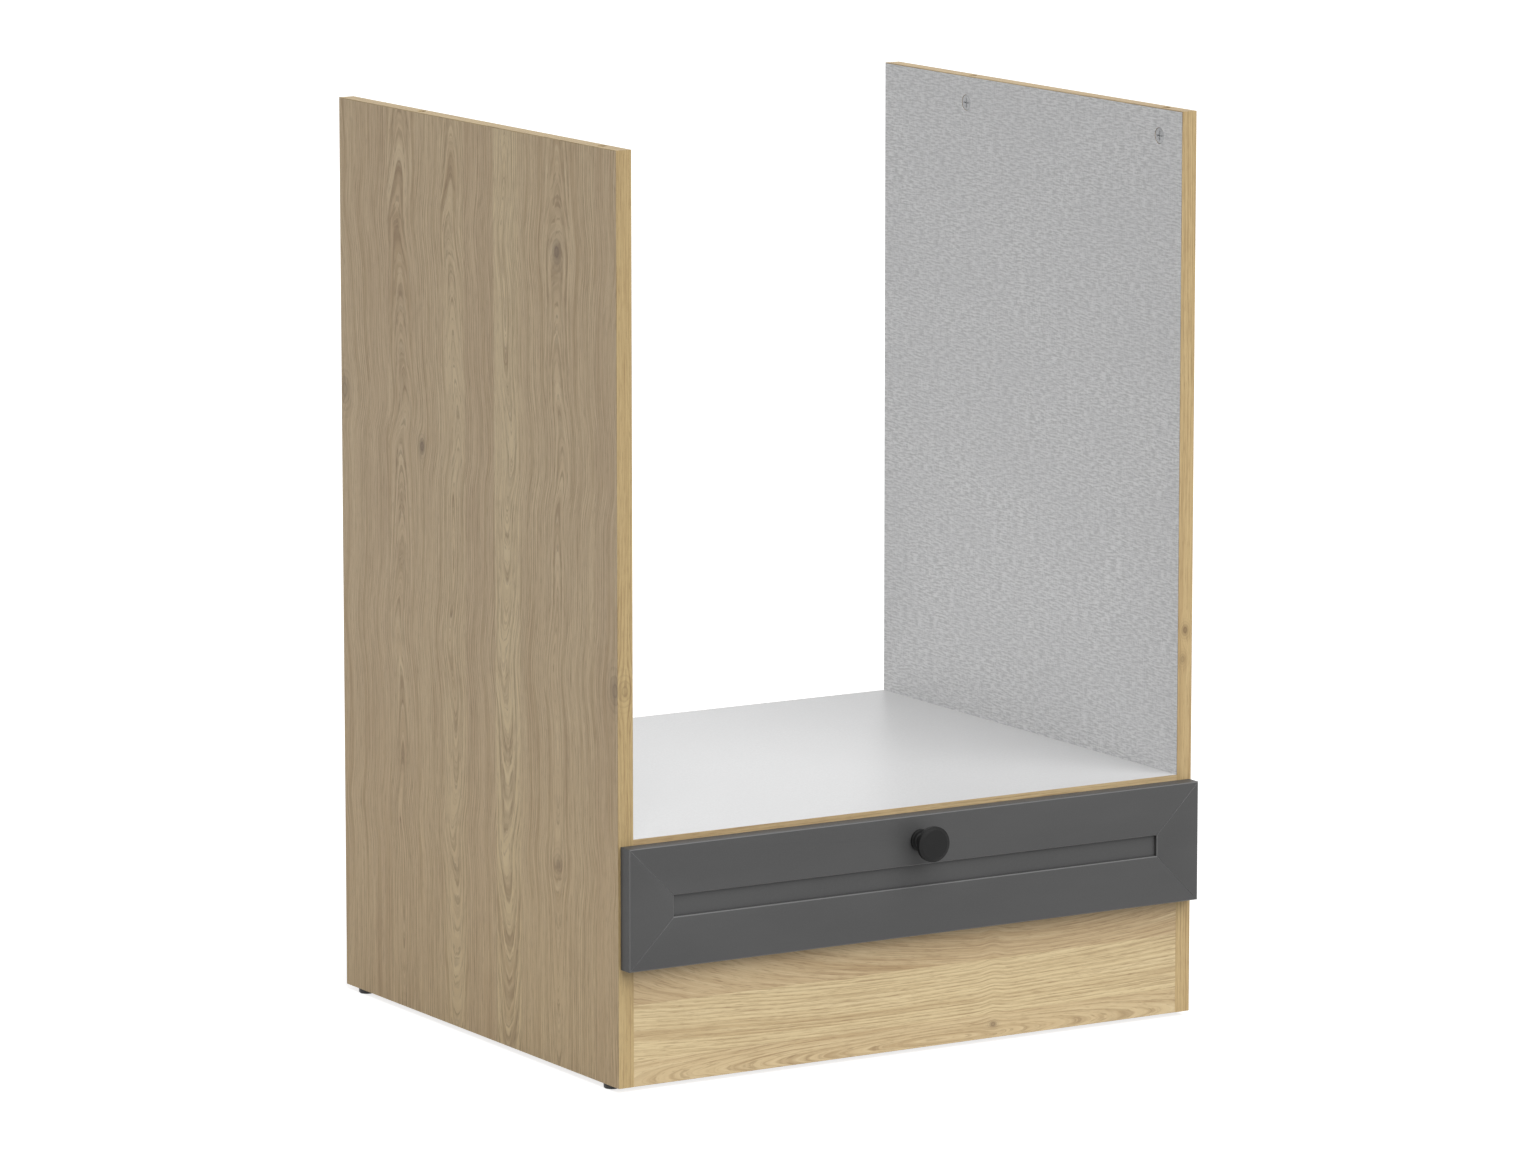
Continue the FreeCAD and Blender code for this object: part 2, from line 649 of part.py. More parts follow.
def roller_rivets():
    """Rivets that carry the rollers: flush in the web, with a head beyond the roller."""
    grip = d.steel + d.roller_thick + d.roller_side_play * 2
    rivet = stepped("rivet", [(0, grip, d.axle_width, draw_circles),
                              (grip, grip + d.rivet_head_thick, d.rivet_head_width, draw_circles)])
    spots = (("cabinet_roller_rivets", inner_face, runner_front + d.roller_inset, front_axle_level,
              (turn_in, turn_out)),
             ("drawer_roller_rivets", drawer_outer, front_back + rear_axle_place, rear_axle_level,
              (turn_out, turn_in)))
    for label, x, y, level, (left_turn, right_turn) in spots:
        copies(label, rivet, [(x, y, runner_base + level, left_turn),
                              (-x, y, runner_base + level, right_turn)])


def runner_screws():
    """Screws through the webs into the side panels, and up through the flanges into the drawer sides."""
    screw = screw_master("runner_screw", d.screw_head_thick, d.screw_length, d.screw_width)
    web = inner_face + d.steel
    level = runner_base + channel_height / 2
    copies("cabinet_runner_screws", screw, [(x, runner_front + y, level, turn) for y in screw_places
                                            for x, turn in ((web, turn_out), (-web, turn_in))])
    under = drawer_outer + d.drawer_board / 2
    copies("drawer_runner_screws", screw, [(x, front_back + y, runner_base - d.steel, turn_none)
                                           for y in screw_places for x in (under, -under)])


def drawer_box():
    """Drawer sides, back and bottom; the front of the box is the drawer front itself."""
    side = board_body("drawer_left_side", d.drawer_board, drawer_depth, drawer_height)
    middle = d.drawer_board / 2
    socket(side, "drawer_side_bolt_socket", "front", 0, [(middle, drawer_cam_level)],
           d.bolt_width, d.cam_distance)
    socket(side, "drawer_side_dowel_socket", "front", 0, [(middle, drawer_dowel_level)],
           d.dowel_width, d.dowel_length - d.dowel_short_end)
    bore(side, "drawer_side_cam_bore", "right", d.drawer_board, [(d.cam_distance, drawer_cam_level)],
         cam_bore, cam_depth)
    socket(side, "drawer_side_screw_sockets", "bottom", 0, [(middle, y) for y in screw_places],
           d.screw_width, d.screw_length - d.steel)
    slot(side, "drawer_side_groove", "right", d.drawer_board,
         (0, d.bottom_rise, drawer_depth, d.bottom_rise + bottom_slot), d.bottom_groove)
    slot(side, "drawer_side_housing", "right", d.drawer_board,
         (housing_front, 0, housing_front + d.drawer_board + d.housing_play, drawer_height), d.housing_depth)
    place(side, drawer_outer, front_back, runner_base)
    keep(side, "drawer_left_side")
    mirrored(side, "drawer_right_side")

    inset = d.housing_depth - d.housing_play
    width = (inset - drawer_inner) * 2
    back = board_body("drawer_back", width, d.drawer_board, drawer_height)
    slot(back, "drawer_back_groove", "front", 0, (0, d.bottom_rise, width, d.bottom_rise + bottom_slot),
         d.bottom_groove)
    place(back, drawer_inner - inset, front_back + housing_front + d.housing_play / 2, runner_base)
    keep(back, "drawer_back")

    base = strip("drawer_bottom", (bottom_tongue - drawer_inner) * 2, housing_front + bottom_tongue * 2,
                 d.bottom_thick)
    place(base, drawer_inner - bottom_tongue, front_back - bottom_tongue, bottom_low + d.groove_play / 2)
    keep(base, "drawer_bottom")


def drawer_fasteners(cam, dowel):
    """Cams, cam bolts and dowels that hold the front to the drawer sides."""
    bolt = stepped("cam_bolt", [(-d.thread_length, 0, d.thread_width, draw_bars),
                                (0, d.cam_distance + d.bolt_width / 2 - d.fit_play, d.bolt_width, draw_bars)])
    middle = drawer_outer + d.drawer_board / 2
    cam_face = drawer_inner - d.cam_sink
    cam_level = runner_base + drawer_cam_level
    quarter = Rotation(Vector(0, 0, 1), -90)
    copies("drawer_cams", cam, [
        (cam_face * side, front_back + d.cam_distance, cam_level, turn.multiply(quarter))
        for side, turn in ((1, turn_out), (-1, turn_in))])
    copies("drawer_cam_bolts", bolt, [(middle * side, front_back, cam_level, turn_back) for side in (1, -1)])
    copies("drawer_dowels", dowel, [(middle * side, front_back - d.dowel_short_end,
                                     runner_base + drawer_dowel_level, turn_back) for side in (1, -1)])


def front_member(name, points, groove_face, groove_level, groove_ends):
    """A mitred member of the drawer front: softened face edges and a groove for the inset panel."""
    body = new_body(name)
    sketch = new_sketch(body, name + "_outline", "XZ_Plane")
    draw_outline(sketch, points)
    block = pad(body, sketch, d.front_thick, True)

    def in_face(edge):
        return abs(edge.BoundBox.YMax) < 1e-6

    def slanted(edge):
        return edge.BoundBox.XLength > 1 and edge.BoundBox.ZLength > 1

    block = soften(body, name + "_mitres", block, d.mitre_chamfer,
                   lambda edge: in_face(edge) and slanted(edge))
    soften(body, name + "_arrises", block, d.front_chamfer,
           lambda edge: in_face(edge) and not slanted(edge))
    near = d.panel_recess
    far = d.panel_recess + d.panel_thick + d.groove_play
    low, high = groove_ends
    corners = (low, near, high, far) if groove_face in ("top", "bottom") else (near, low, far, high)
    slot(body, name + "_groove", groove_face, groove_level, corners, d.panel_tongue)
    place(body, 0, front_face, front_base)
    return keep(body, name)


def drawer_front():
    """Mitred frame of four members round a thin inset panel."""
    half = front_width / 2
    reach = half - d.frame_width
    high = front_height
    upper = high - d.frame_width
    groove = (-half, half)
    top = front_member("front_top_rail", [(-half, high), (-reach, upper), (reach, upper), (half, high)],
                       "bottom", upper, groove)
    bore(top, "knob_screw_bore", "front", 0, [(0, high - d.frame_width / 2)],
         d.knob_screw_width + d.fit_play, d.front_thick, draw_bars)
    bottom = front_member("front_bottom_rail", [(-half, 0), (half, 0), (reach, d.frame_width),
                                                (-reach, d.frame_width)],
                          "top", d.frame_width, groove)
    slot_low = bottom_low - front_base
    slot_reach = d.bottom_groove - drawer_inner
    slot(bottom, "front_bottom_groove", "rear", d.front_thick,
         (-slot_reach, slot_low, slot_reach, slot_low + bottom_slot), d.bottom_groove)
    left = front_member("front_left_stile", [(-half, 0), (-reach, d.frame_width), (-reach, upper),
                                             (-half, high)],
                        "right", -reach, (0, high))
    box_x = drawer_outer + d.drawer_board / 2
    box_z = runner_base - front_base
    socket(left, "front_stile_bolt_socket", "rear", d.front_thick, [(box_x, box_z + drawer_cam_level)],
           d.thread_width, d.thread_length)
    socket(left, "front_stile_dowel_socket", "rear", d.front_thick, [(box_x, box_z + drawer_dowel_level)],
           d.dowel_width, d.dowel_short_end)
    mirrored(left, "front_right_stile")
    inset = d.panel_tongue - d.groove_play
    panel = strip("front_panel", (reach + inset) * 2, d.panel_thick, upper - d.frame_width + inset * 2)
    place(panel, -reach - inset, front_face + d.panel_recess + d.groove_play / 2,
          front_base + d.frame_width - inset)
    keep(panel, "front_panel")


def knob():
    """Turned knob with a round base, and the screw that holds it from behind the front."""
    body = new_body("drawer_knob")
    sketch = new_sketch(body, "knob_section", "XY_Plane")
    base = d.knob_base_width / 2
    neck = d.knob_neck_width / 2
    head = d.knob_width / 2
    rim_front = d.knob_length - d.knob_bevel
    rim_rear = rim_front - d.knob_rim
    draw_outline(sketch, [
        (0, 0), (base, 0), (base, -d.knob_base_thick), (neck, -d.knob_base_thick), (neck, -rim_rear),
        (head, -rim_rear), (head, -rim_front), (head - d.knob_bevel_width, -d.knob_length),
        (0, -d.knob_length)])
    revolve(body, sketch)
    bore(body, "knob_screw_socket", "rear", 0, [(0, 0)], d.knob_screw_width + d.fit_play,
         d.knob_bore_depth + d.fit_play, draw_bars)
    place(body, 0, front_face, knob_level)
    keep(body, "drawer_knob")
    screw = screw_master("knob_screw_solid", d.knob_screw_head, d.front_thick + d.knob_bore_depth,
                         d.knob_screw_width)
    place(screw, 0, front_back, knob_level, Rotation(Vector(1, 0, 0), 90))
    keep(screw, "knob_screw")


def check_document():
    """Stop if any feature failed, a cut removed nothing or a sub-part has no valid solid."""
    for thing in doc.Objects:
        if {"Invalid", "Error"} & set(thing.State):
            raise RuntimeError("%s is in error" % thing.Name)
        if thing.TypeId == "PartDesign::Pocket":
            if thing.Shape.Volume >= thing.BaseFeature.Shape.Volume - 1e-3:
                raise RuntimeError("%s cuts nothing" % thing.Name)
    for part in subparts:
        if part.Shape.isNull() or not part.Shape.isValid() or not part.Shape.Solids:
            raise RuntimeError("%s has no valid solid" % part.Label)


def write_parts():
    os.makedirs("parts", exist_ok=True)
    for part in subparts:
        part.Shape.exportStep("parts/%s.step" % part.Label)
    print("%d sub-parts, %d solids" % (len(subparts), sum(len(part.Shape.Solids) for part in subparts)))


side_panels()
side_edging()
level_panel("oven_shelf", "bottom", shelf_under)
level_panel("bottom_panel", "top", plinth_top)
plinth()
back_panel()
glides()
cam = cam_master()
dowel = stepped("dowel", [(0, d.dowel_length, d.dowel_width, draw_bars)])
carcass_dowels(dowel)
worktop_cams(cam)
cabinet_runners()
drawer_runners()
rollers()
roller_rivets()
runner_screws()
drawer_box()
drawer_fasteners(cam, dowel)
drawer_front()
knob()
doc.recompute()
check_document()
write_parts()
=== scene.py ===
"""Base housing for a built-in oven, dressed for its picture: oak decor, white melamine, grey lacquer."""
import bmesh
import bpy
import json
import math
from mathutils import Matrix, Vector

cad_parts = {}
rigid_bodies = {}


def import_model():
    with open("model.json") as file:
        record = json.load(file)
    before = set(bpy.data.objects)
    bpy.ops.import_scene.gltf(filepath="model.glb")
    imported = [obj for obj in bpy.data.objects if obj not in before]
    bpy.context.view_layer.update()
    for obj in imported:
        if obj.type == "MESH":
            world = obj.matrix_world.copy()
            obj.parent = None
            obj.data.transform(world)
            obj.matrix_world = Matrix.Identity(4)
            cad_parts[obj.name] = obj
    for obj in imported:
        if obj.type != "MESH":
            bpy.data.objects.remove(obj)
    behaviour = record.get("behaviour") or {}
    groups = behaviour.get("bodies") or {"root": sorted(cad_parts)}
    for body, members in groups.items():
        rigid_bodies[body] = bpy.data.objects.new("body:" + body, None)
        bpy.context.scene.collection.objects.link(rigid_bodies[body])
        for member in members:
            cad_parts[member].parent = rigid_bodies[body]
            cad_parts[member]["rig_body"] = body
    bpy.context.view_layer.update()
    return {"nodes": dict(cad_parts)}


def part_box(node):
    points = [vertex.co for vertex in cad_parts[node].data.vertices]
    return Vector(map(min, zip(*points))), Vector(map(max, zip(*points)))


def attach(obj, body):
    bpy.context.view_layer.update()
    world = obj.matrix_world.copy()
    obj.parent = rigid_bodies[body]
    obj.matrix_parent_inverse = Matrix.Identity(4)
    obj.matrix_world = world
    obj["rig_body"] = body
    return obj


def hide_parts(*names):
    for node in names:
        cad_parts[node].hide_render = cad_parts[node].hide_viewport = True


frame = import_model()
MM = 0.001

# Places on the unit, in metres, as the construction has them: x across, y to the back, level up.
OUTER_FACE = 0.3
INNER_FACE = 0.285
FRONT_EDGE = -0.22875
BAND = 0.0008
FRONT_FACE = -0.24425
FRONT_BACK = -0.22925
KNOB_LEVEL = 0.19700
RUNNER_LEVEL = 0.1440
STEEL = 0.0012
CABINET_SCREWS_Y = (-0.19175, 0.09625)
DRAWER_SCREWS_Y = (-0.19525, 0.09275)
SEAT_LEVEL = 0.1323
DRAWER_SIDE_X = 0.265
DRAWER_OUTER_FACE = 0.2725
FRONT_AXLE = (-0.21475, 0.1464)
REAR_AXLE = (0.20975, 0.1440)
DOWELS_Y = (-0.17875, 0.02025, 0.21925)
DOWEL_LEVELS = (0.1160, 0.2170)
PLINTH_DOWELS = ((-0.22125, 0.0315), (-0.22125, 0.0815))
DOWEL_END_X = 0.295
FRONT_DOWELS = (-0.23925, 0.1590)
DRAWER_CAM_X = 0.2578
DRAWER_CAM_Y = -0.19525
DRAWER_CAM_LEVEL = 0.1710
WORKTOP_CAMS_Y = (-0.19175, 0.12825)
WORKTOP_CAM_LEVEL = 0.8015
CAM_SINK = 0.0003
GLIDE_X = 0.2925
GLIDES_Y = (-0.20375, 0.24425)
PLINTH_MIDDLE = 0.0565
BACK_FACE = 0.2545
BASE_FACE = 0.1432

# Radius of the rounded arrises, and how deep a surface's own finish reaches, in metres.
ARRIS = 0.0003
SKIN = 0.0003

# Past every place on the unit, so that it bounds nothing.
NO_REAR_EDGE = 9.0
LAST_STAVE = 9.0


def tone(red, green, blue):
    """A colour from its screen values."""
    linear = []
    for value in (red, green, blue):
        share = value / 255
        linear.append(share / 12.92 if share < 0.04045 else ((share + 0.055) / 1.055) ** 2.4)
    return (*linear, 1.0)


# ---------------------------------------------------------------- node helpers


class Reading:
    """A number that varies over a surface, with plain arithmetic."""

    def __init__(self, wiring, socket):
        self.wiring = wiring
        self.socket = socket

    def calc(self, operation, *others):
        return self.wiring.calc(operation, self, *others)

    def __add__(self, other):
        return self.calc("ADD", other)

    def __sub__(self, other):
        return self.calc("SUBTRACT", other)

    def __rsub__(self, other):
        return self.wiring.calc("SUBTRACT", other, self)

    def __mul__(self, other):
        return self.calc("MULTIPLY", other)

    def __truediv__(self, other):
        return self.calc("DIVIDE", other)

    def bell(self):
        """1 at zero, falling off smoothly on both sides."""
        return self.wiring.calc("EXPONENT", self * self * -1.0)

    def over(self, low, high, to_low=0.0, to_high=1.0):
        """A soft step: to_low below low, to_high above high."""
        spread = self.wiring.node("ShaderNodeMapRange", interpolation_type="SMOOTHSTEP")
        for name, value in (("Value", self), ("From Min", low), ("From Max", high),
                            ("To Min", to_low), ("To Max", to_high)):
            self.wiring.feed(spread.inputs[name], value)
        return Reading(self.wiring, spread.outputs[0])


class Wiring:
    """Short calls for the nodes of one tree."""

    def __init__(self, tree):
        self.tree = tree

    def feed(self, socket, value):
        if isinstance(value, Reading):
            value = value.socket
        if isinstance(value, bpy.types.NodeSocket):
            self.tree.links.new(value, socket)
        else:
            socket.default_value = value

    def node(self, kind, *values, **settings):
        node = self.tree.nodes.new(kind)
        for name, setting in settings.items():
            setattr(node, name, setting)
        for socket, value in zip(node.inputs, values):
            self.feed(socket, value)
        return node

    def calc(self, operation, *values):
        return Reading(self, self.node("ShaderNodeMath", *values, operation=operation).outputs[0])

    def point(self, x, y, z):
        return self.node("ShaderNodeCombineXYZ", x, y, z).outputs[0]

    def seen_rays(self):
        """1 for what the eye sees, straight or in metal and glass, and 0 for what lights the object."""
        path = self.node("ShaderNodeLightPath").outputs
        seen = self.calc("MAXIMUM", path["Is Camera Ray"], path["Is Glossy Ray"])
        return self.calc("MAXIMUM", seen, path["Is Transmission Ray"])


class Finish(Wiring):
    """One material: its shader and the patterns that feed it."""

    def __init__(self, name, roughness, **settings):
        self.material = bpy.data.materials.new(name)
        self.material.use_nodes = True
        super().__init__(self.material.node_tree)
        self.shader = self.tree.nodes["Principled BSDF"]
        self.shader.inputs["Roughness"].default_value = roughness
        for socket, value in settings.items():
            self.shader.inputs[socket.replace("_", " ")].default_value = value
        place = self.node("ShaderNodeTexCoord").outputs["Object"]
        self.x, self.y, self.z = [Reading(self, part)
                                  for part in self.node("ShaderNodeSeparateXYZ", place).outputs]

    def noise(self, u, v, w, detail=2.0, roughness=0.5):
        """Smooth noise from 0 to 1 over a place that is already scaled to the size of the pattern."""
        cloud = self.node("ShaderNodeTexNoise")
        for name, value in (("Vector", self.point(u, v, w)), ("Scale", 1.0), ("Detail", detail),
                            ("Roughness", roughness)):
            self.feed(cloud.inputs[name], value)
        return Reading(self, cloud.outputs["Fac"])

    def mix(self, share, first, second, way="MIX"):
        blend = self.node("ShaderNodeMix", data_type="RGBA", blend_type=way)
        for number, value in ((0, share), (6, first), (7, second)):
            self.feed(blend.inputs[number], value)
        return blend.outputs[2]

    def emboss(self, height, depth):
        """Relief of a depth in metres."""
        bump = self.node("ShaderNodeBump")
        for name, value in (("Strength", 1.0), ("Distance", depth), ("Height", height)):
            self.feed(bump.inputs[name], value)
        self.feed(self.shader.inputs["Normal"], bump.outputs[0])

    def colour(self, value):
        self.feed(self.shader.inputs["Base Color"], value)

    def gloss(self, value):
        self.feed(self.shader.inputs["Roughness"], value)


# ------------------------------------------------------------------- finishes


def oak(finish, along, across, seed, staves, knots=(), ring=0.0030, fine=1.0, tint_and_painted_shade=(1.0, 1.0, 1.0)):
    """Oak decor of glued staves: (colour, relief), with growth rings, pores and knots.

    staves are (upper edge across, heart across, apex along, slope): each has its own flame figure, or
    straight grain where the heart lies outside it. knots are (along, across, size, strength).
    """
    number, heart, apex, slope = 0.0, staves[0][1], staves[0][2], staves[0][3]
    for before, after in zip(staves, staves[1:]):
        past = across.calc("GREATER_THAN", before[0])
        number = past + number
        heart = past * (after[1] - before[1]) + heart
        apex = past * (after[2] - before[2]) + apex
        slope = past * (after[3] - before[3]) + slope
    layer = number * 7.3 + seed
    dice = finish.node("ShaderNodeTexWhiteNoise", noise_dimensions="1D")
    finish.feed(dice.inputs["W"], layer)
    chance = dice.outputs["Value"]
    sway = finish.noise(along * 2.2, across * 12.0, layer) - 0.5
    ripple = finish.noise(along * 11.0, across * 45.0, layer + 1.0) - 0.5
    place = across + sway * 0.012 + ripple * 0.0015
    shade = None
    for knot_along, knot_across, size, strength in knots:
        above = (along - knot_along) / size
        beside = (across - knot_across) / size
        near = (above / 4.5).bell()
        place = place - near * size * beside / (beside * beside + 1.2).calc("SQRT")
        distance = (above * above * 0.5 + beside * beside).calc("SQRT") + ripple * 1.3
        curl = (distance * 1.7 + sway).calc("FRACT").over(0.45, 0.95) * distance.over(3.2, 0.8) * 0.45
        dark = distance.over(1.25, 0.35) * strength + distance.over(2.6, 0.8) * strength * 0.35 + curl * 0.5
        shade = dark if shade is None else shade.calc("MAXIMUM", dark)
    rise = (along - apex) * slope
    radius = ((place - heart) * (place - heart) + rise * rise).calc("SQRT")
    radius = radius + (finish.noise(along * 7.0, across * 60.0, layer + 3.0, 3.0) - 0.5) * 0.0024
    spread = finish.noise(radius * 120.0, along * 0.6, layer + 4.0)
    rings = (radius / ring + spread * 1.8).calc("FRACT")
    figure = rings.over(0.35, 0.92) * rings.over(1.0, 0.94)
    dashes = finish.noise(along * 60.0, radius * 900.0, layer + 5.0, 2.0, 0.6).over(0.34, 0.60)
    patches = finish.noise(along * 4.0, across * 30.0, layer + 6.0).over(0.32, 0.62)
    figure = figure * (dashes * 0.7 + 0.3) * patches
    stretch = finish.noise(along * 3.5, across * 30.0, layer + 8.0).over(0.30, 0.65, 0.35, 1.0)
    streaks = finish.noise(along * 9.0, radius * 560.0, layer + 7.0, 4.0, 0.68)
    bands = finish.noise(along * 2.2, radius * 120.0, layer + 11.0, 4.0, 0.62)
    hairs = finish.noise(along * 26.0, radius * 1500.0, layer + 15.0, 2.0, 0.6)
    pores = finish.noise(along * 70.0, radius * 1700.0, layer + 17.0, 2.0, 0.6).over(0.55, 0.68)
    body = finish.mix(chance, tone(225, 205, 164), tone(204, 180, 143))
    body = finish.mix(bands.over(0.50, 0.68) * 0.52 * fine, body, tone(180, 152, 112))
    body = finish.mix(bands.over(0.46, 0.32) * 0.35, body, tone(228, 209, 170))
    body = finish.mix(streaks.over(0.50, 0.68) * stretch * 0.55 * fine, body, tone(160, 132, 95))
    body = finish.mix(streaks.over(0.46, 0.32) * 0.35 * fine, body, tone(234, 216, 178))
    body = finish.mix(figure * 0.55 * fine, body, tone(150, 122, 86))
    body = finish.mix(hairs.over(0.52, 0.72) * 0.40 * fine, body, tone(150, 122, 86))
    body = finish.mix(hairs.over(0.46, 0.28) * 0.28 * fine, body, tone(238, 221, 184))
    body = finish.mix(pores * 0.40 * fine, body, tone(138, 110, 76))
    if shade is not None:
        body = finish.mix(shade, body, tone(128, 106, 80))
    # Multiplies in a tint: the decor's own tone, and on the side edgings also painted light and shade.
    body = finish.mix(1.0, body, (*tint_and_painted_shade, 1.0), "MULTIPLY")
    relief = 0.6 - pores * 0.5 - figure * 0.2 + hairs * 0.2
    return body, relief


def chipboard(finish):
    """Raw edge of a board: pressed chips of several browns."""
    chips = finish.noise(finish.x * 420.0, finish.y * 420.0, finish.z * 420.0, 3.0, 0.7)
    dust = finish.noise(finish.x * 1600.0, finish.y * 1600.0, finish.z * 1600.0, 1.0)
    body = finish.mix(chips.over(0.35, 0.65), tone(150, 118, 82), tone(205, 178, 138))
    return finish.mix(dust.over(0.55, 0.75) * 0.5, body, tone(112, 84, 58))


def melamine(finish, along, across):
    """White melamine with a faint linen print: (colour, relief)."""
    sag = (finish.noise(along * 30.0, across * 14.0, 0.0) - 0.5) * 0.003
    weft = finish.noise(along * 110.0, (across + sag) * 640.0, 0.0, 2.0, 0.6)
    warp = finish.noise((along + sag) * 620.0, across * 130.0, 4.0, 2.0, 0.6)
    threads = weft * 0.75 + warp * 0.25
    cloud = finish.noise(along * 9.0, across * 12.0, 8.0, 3.0)
    body = finish.mix(threads.over(0.37, 0.63), tone(203, 203, 203), tone(243, 243, 243))
    body = finish.mix(cloud.over(0.35, 0.65) * 0.2, body, tone(214, 214, 215))
    return body, threads


def side_finish(name, staves, knots, seed):
    """Side panel: oak decor on the outer face, white inside, raw board at the edges."""
    finish = Finish(name, 0.5)
    body, relief = oak(finish, finish.z, finish.y, seed, staves, knots, 0.0034, 1.2, (0.94, 0.925, 0.925))
    warmer = finish.mix(1.0, body, (1.02, 0.99, 0.90, 1.0), "MULTIPLY")
    body = finish.mix(finish.z.over(0.50, 0.0), body, warmer)
    white, threads = melamine(finish, finish.y, finish.z)
    reach = finish.x.calc("ABSOLUTE")
    outside = reach.calc("GREATER_THAN", OUTER_FACE - SKIN)
    inside = reach.calc("LESS_THAN", INNER_FACE + SKIN)
    skin = finish.mix(inside, chipboard(finish), white)
    skin = finish.mix(outside, skin, body)
    finish.colour(skin)
    finish.emboss(relief * outside + threads * (1.0 - outside) * 0.5, 0.00005)
    return finish.material


def band_finish(name, seed, knots, tint_and_painted_shade):
    """Oak edging, upright in front and lying along the top, under a tint that carries painted light and
    shade.
    """
    finish = Finish(name, 0.48)
    front = finish.y.calc("LESS_THAN", FRONT_EDGE + BAND + 0.00001)
    along = finish.z * front + finish.y * (1.0 - front)
    body, relief = oak(finish, along, finish.x, seed, [(LAST_STAVE, 0.25, 0.4, 0.01)], knots, tint_and_painted_shade=tint_and_painted_shade)
    finish.colour(body)
    finish.emboss(relief, 0.00004)
    return finish.material


def plinth_finish():
    """Oak decor on the plinth's faces, raw board at its edges."""
    finish = Finish("oak_plinth_face", 0.5)
    staves = [(0.027, 0.010, 0.03, 0.062), (0.077, 0.130, 0.02, 0.13), (LAST_STAVE, 0.125, 0.138, 0.17)]
    body, relief = oak(finish, finish.x, finish.z, 31.0, staves, [(0.088, 0.0169, 0.0023, 0.50)], 0.0034,
                       tint_and_painted_shade=(0.87, 0.855, 0.81))
    edge = (finish.z - PLINTH_MIDDLE).calc("ABSOLUTE").calc("GREATER_THAN", 0.0518)
    back = finish.y.calc("GREATER_THAN", FRONT_EDGE + SKIN)
    raw = edge.calc("MAXIMUM", back * (finish.y.calc("LESS_THAN", FRONT_EDGE + 0.0147)))
    finish.colour(finish.mix(raw, body, chipboard(finish)))
    finish.emboss(relief, 0.00005)
    return finish.material


def shelf_band_finish():
    """Oak edging that lies along the front of a shelf."""
    finish = Finish("oak_shelf_edging", 0.48)
    staves = [(LAST_STAVE, 0.18, 0.1, 0.01)]
    body, relief = oak(finish, finish.x, finish.z, 57.0, staves, tint_and_painted_shade=(0.80, 0.76, 0.68))
    finish.colour(body)
    finish.emboss(relief, 0.00004)
    return finish.material


def white_board_finish(name, rear=NO_REAR_EDGE):
    """White board with a fine pearl texture, raw chipboard behind the given rear edge."""
    finish = Finish(name, 0.36)
    grains = finish.noise(finish.x * 520.0, finish.y * 520.0, finish.z * 520.0, 3.0, 0.7)
    cloud = finish.noise(finish.x * 12.0, finish.y * 12.0, finish.z * 12.0, 3.0)
    body = finish.mix(grains.over(0.30, 0.70), tone(209, 209, 209), tone(221, 221, 221))
    body = finish.mix(cloud.over(0.3, 0.7) * 0.3, body, tone(213, 213, 213))
    finish.colour(finish.mix(finish.y.calc("GREATER_THAN", rear), body, chipboard(finish)))
    finish.gloss(grains.over(0.3, 0.7, 0.32, 0.42))
    finish.emboss(grains, 0.00003)
    return finish.material


def hardboard_finish(name, level, axis):
    """Thin hardboard: white past a level on one axis, brown fibres elsewhere."""
    finish = Finish(name, 0.5)
    where = getattr(finish, axis)
    face = where.calc("GREATER_THAN", level) if axis == "z" else where.calc("LESS_THAN", level)
    fibres = finish.noise(finish.x * 380.0, finish.y * 380.0, finish.z * 380.0, 4.0, 0.7)
    brown = finish.mix(fibres.over(0.3, 0.7), tone(126, 92, 62), tone(160, 124, 88))
    white = finish.mix(fibres.over(0.3, 0.7) * 0.5, tone(232, 232, 230), tone(224, 225, 224))
    finish.colour(finish.mix(face, brown, white))
    finish.gloss(face * -0.3 + 0.75)
    finish.emboss(fibres, 0.00006)
    return finish.material


def lacquer_finish():
    """Matt dark grey lacquer with a fine spray texture, and a painted highlight along the softened front
    arrises.
    """
    finish = Finish("grey_lacquer", 0.5, Specular_IOR_Level=0.35)
    spray = finish.noise(finish.x * 900.0, finish.y * 900.0, finish.z * 900.0, 2.0, 0.6)
    cloud = finish.noise(finish.x * 7.0, finish.y * 7.0, finish.z * 22.0, 3.0)
    body = finish.mix(cloud.over(0.3, 0.7), tone(69, 69, 69), tone(73, 73, 73))
    body = finish.mix(spray.over(0.35, 0.75) * 0.25, body, tone(84, 84, 84))
    # Painted highlight: a lighter grey on the thin zone just behind the front face, on the rounded arrises
    # and mitre chamfers, as if they caught the light.
    arris = finish.y.over(FRONT_FACE + 0.00001, FRONT_FACE + 0.00006) * finish.y.over(
        FRONT_FACE + 0.001, FRONT_FACE + 0.0008)
    finish.colour(finish.mix(arris * 0.8, body, tone(108, 108, 108)))
    finish.gloss(spray.over(0.3, 0.7, 0.44, 0.54))
    finish.emboss(spray, 0.00002)
    return finish.material


def speckled(name, dark, light, roughness, size=600.0, depth=0.00002, spread=0.06, **settings):
    """A plain finish with fine mottling in colour, gloss and relief."""
    finish = Finish(name, roughness, **settings)
    grain = finish.noise(finish.x * size, finish.y * size, finish.z * size, 3.0, 0.6)
    cloud = finish.noise(finish.x * 60.0, finish.y * 60.0, finish.z * 60.0, 2.0)
    shade = (grain * 0.6 + cloud * 0.4).over(0.35, 0.65)
    finish.colour(finish.mix(shade, dark, light))
    finish.gloss(grain.over(0.3, 0.7, roughness - spread, roughness + spread))
    finish.emboss(grain, depth)
    return finish.material


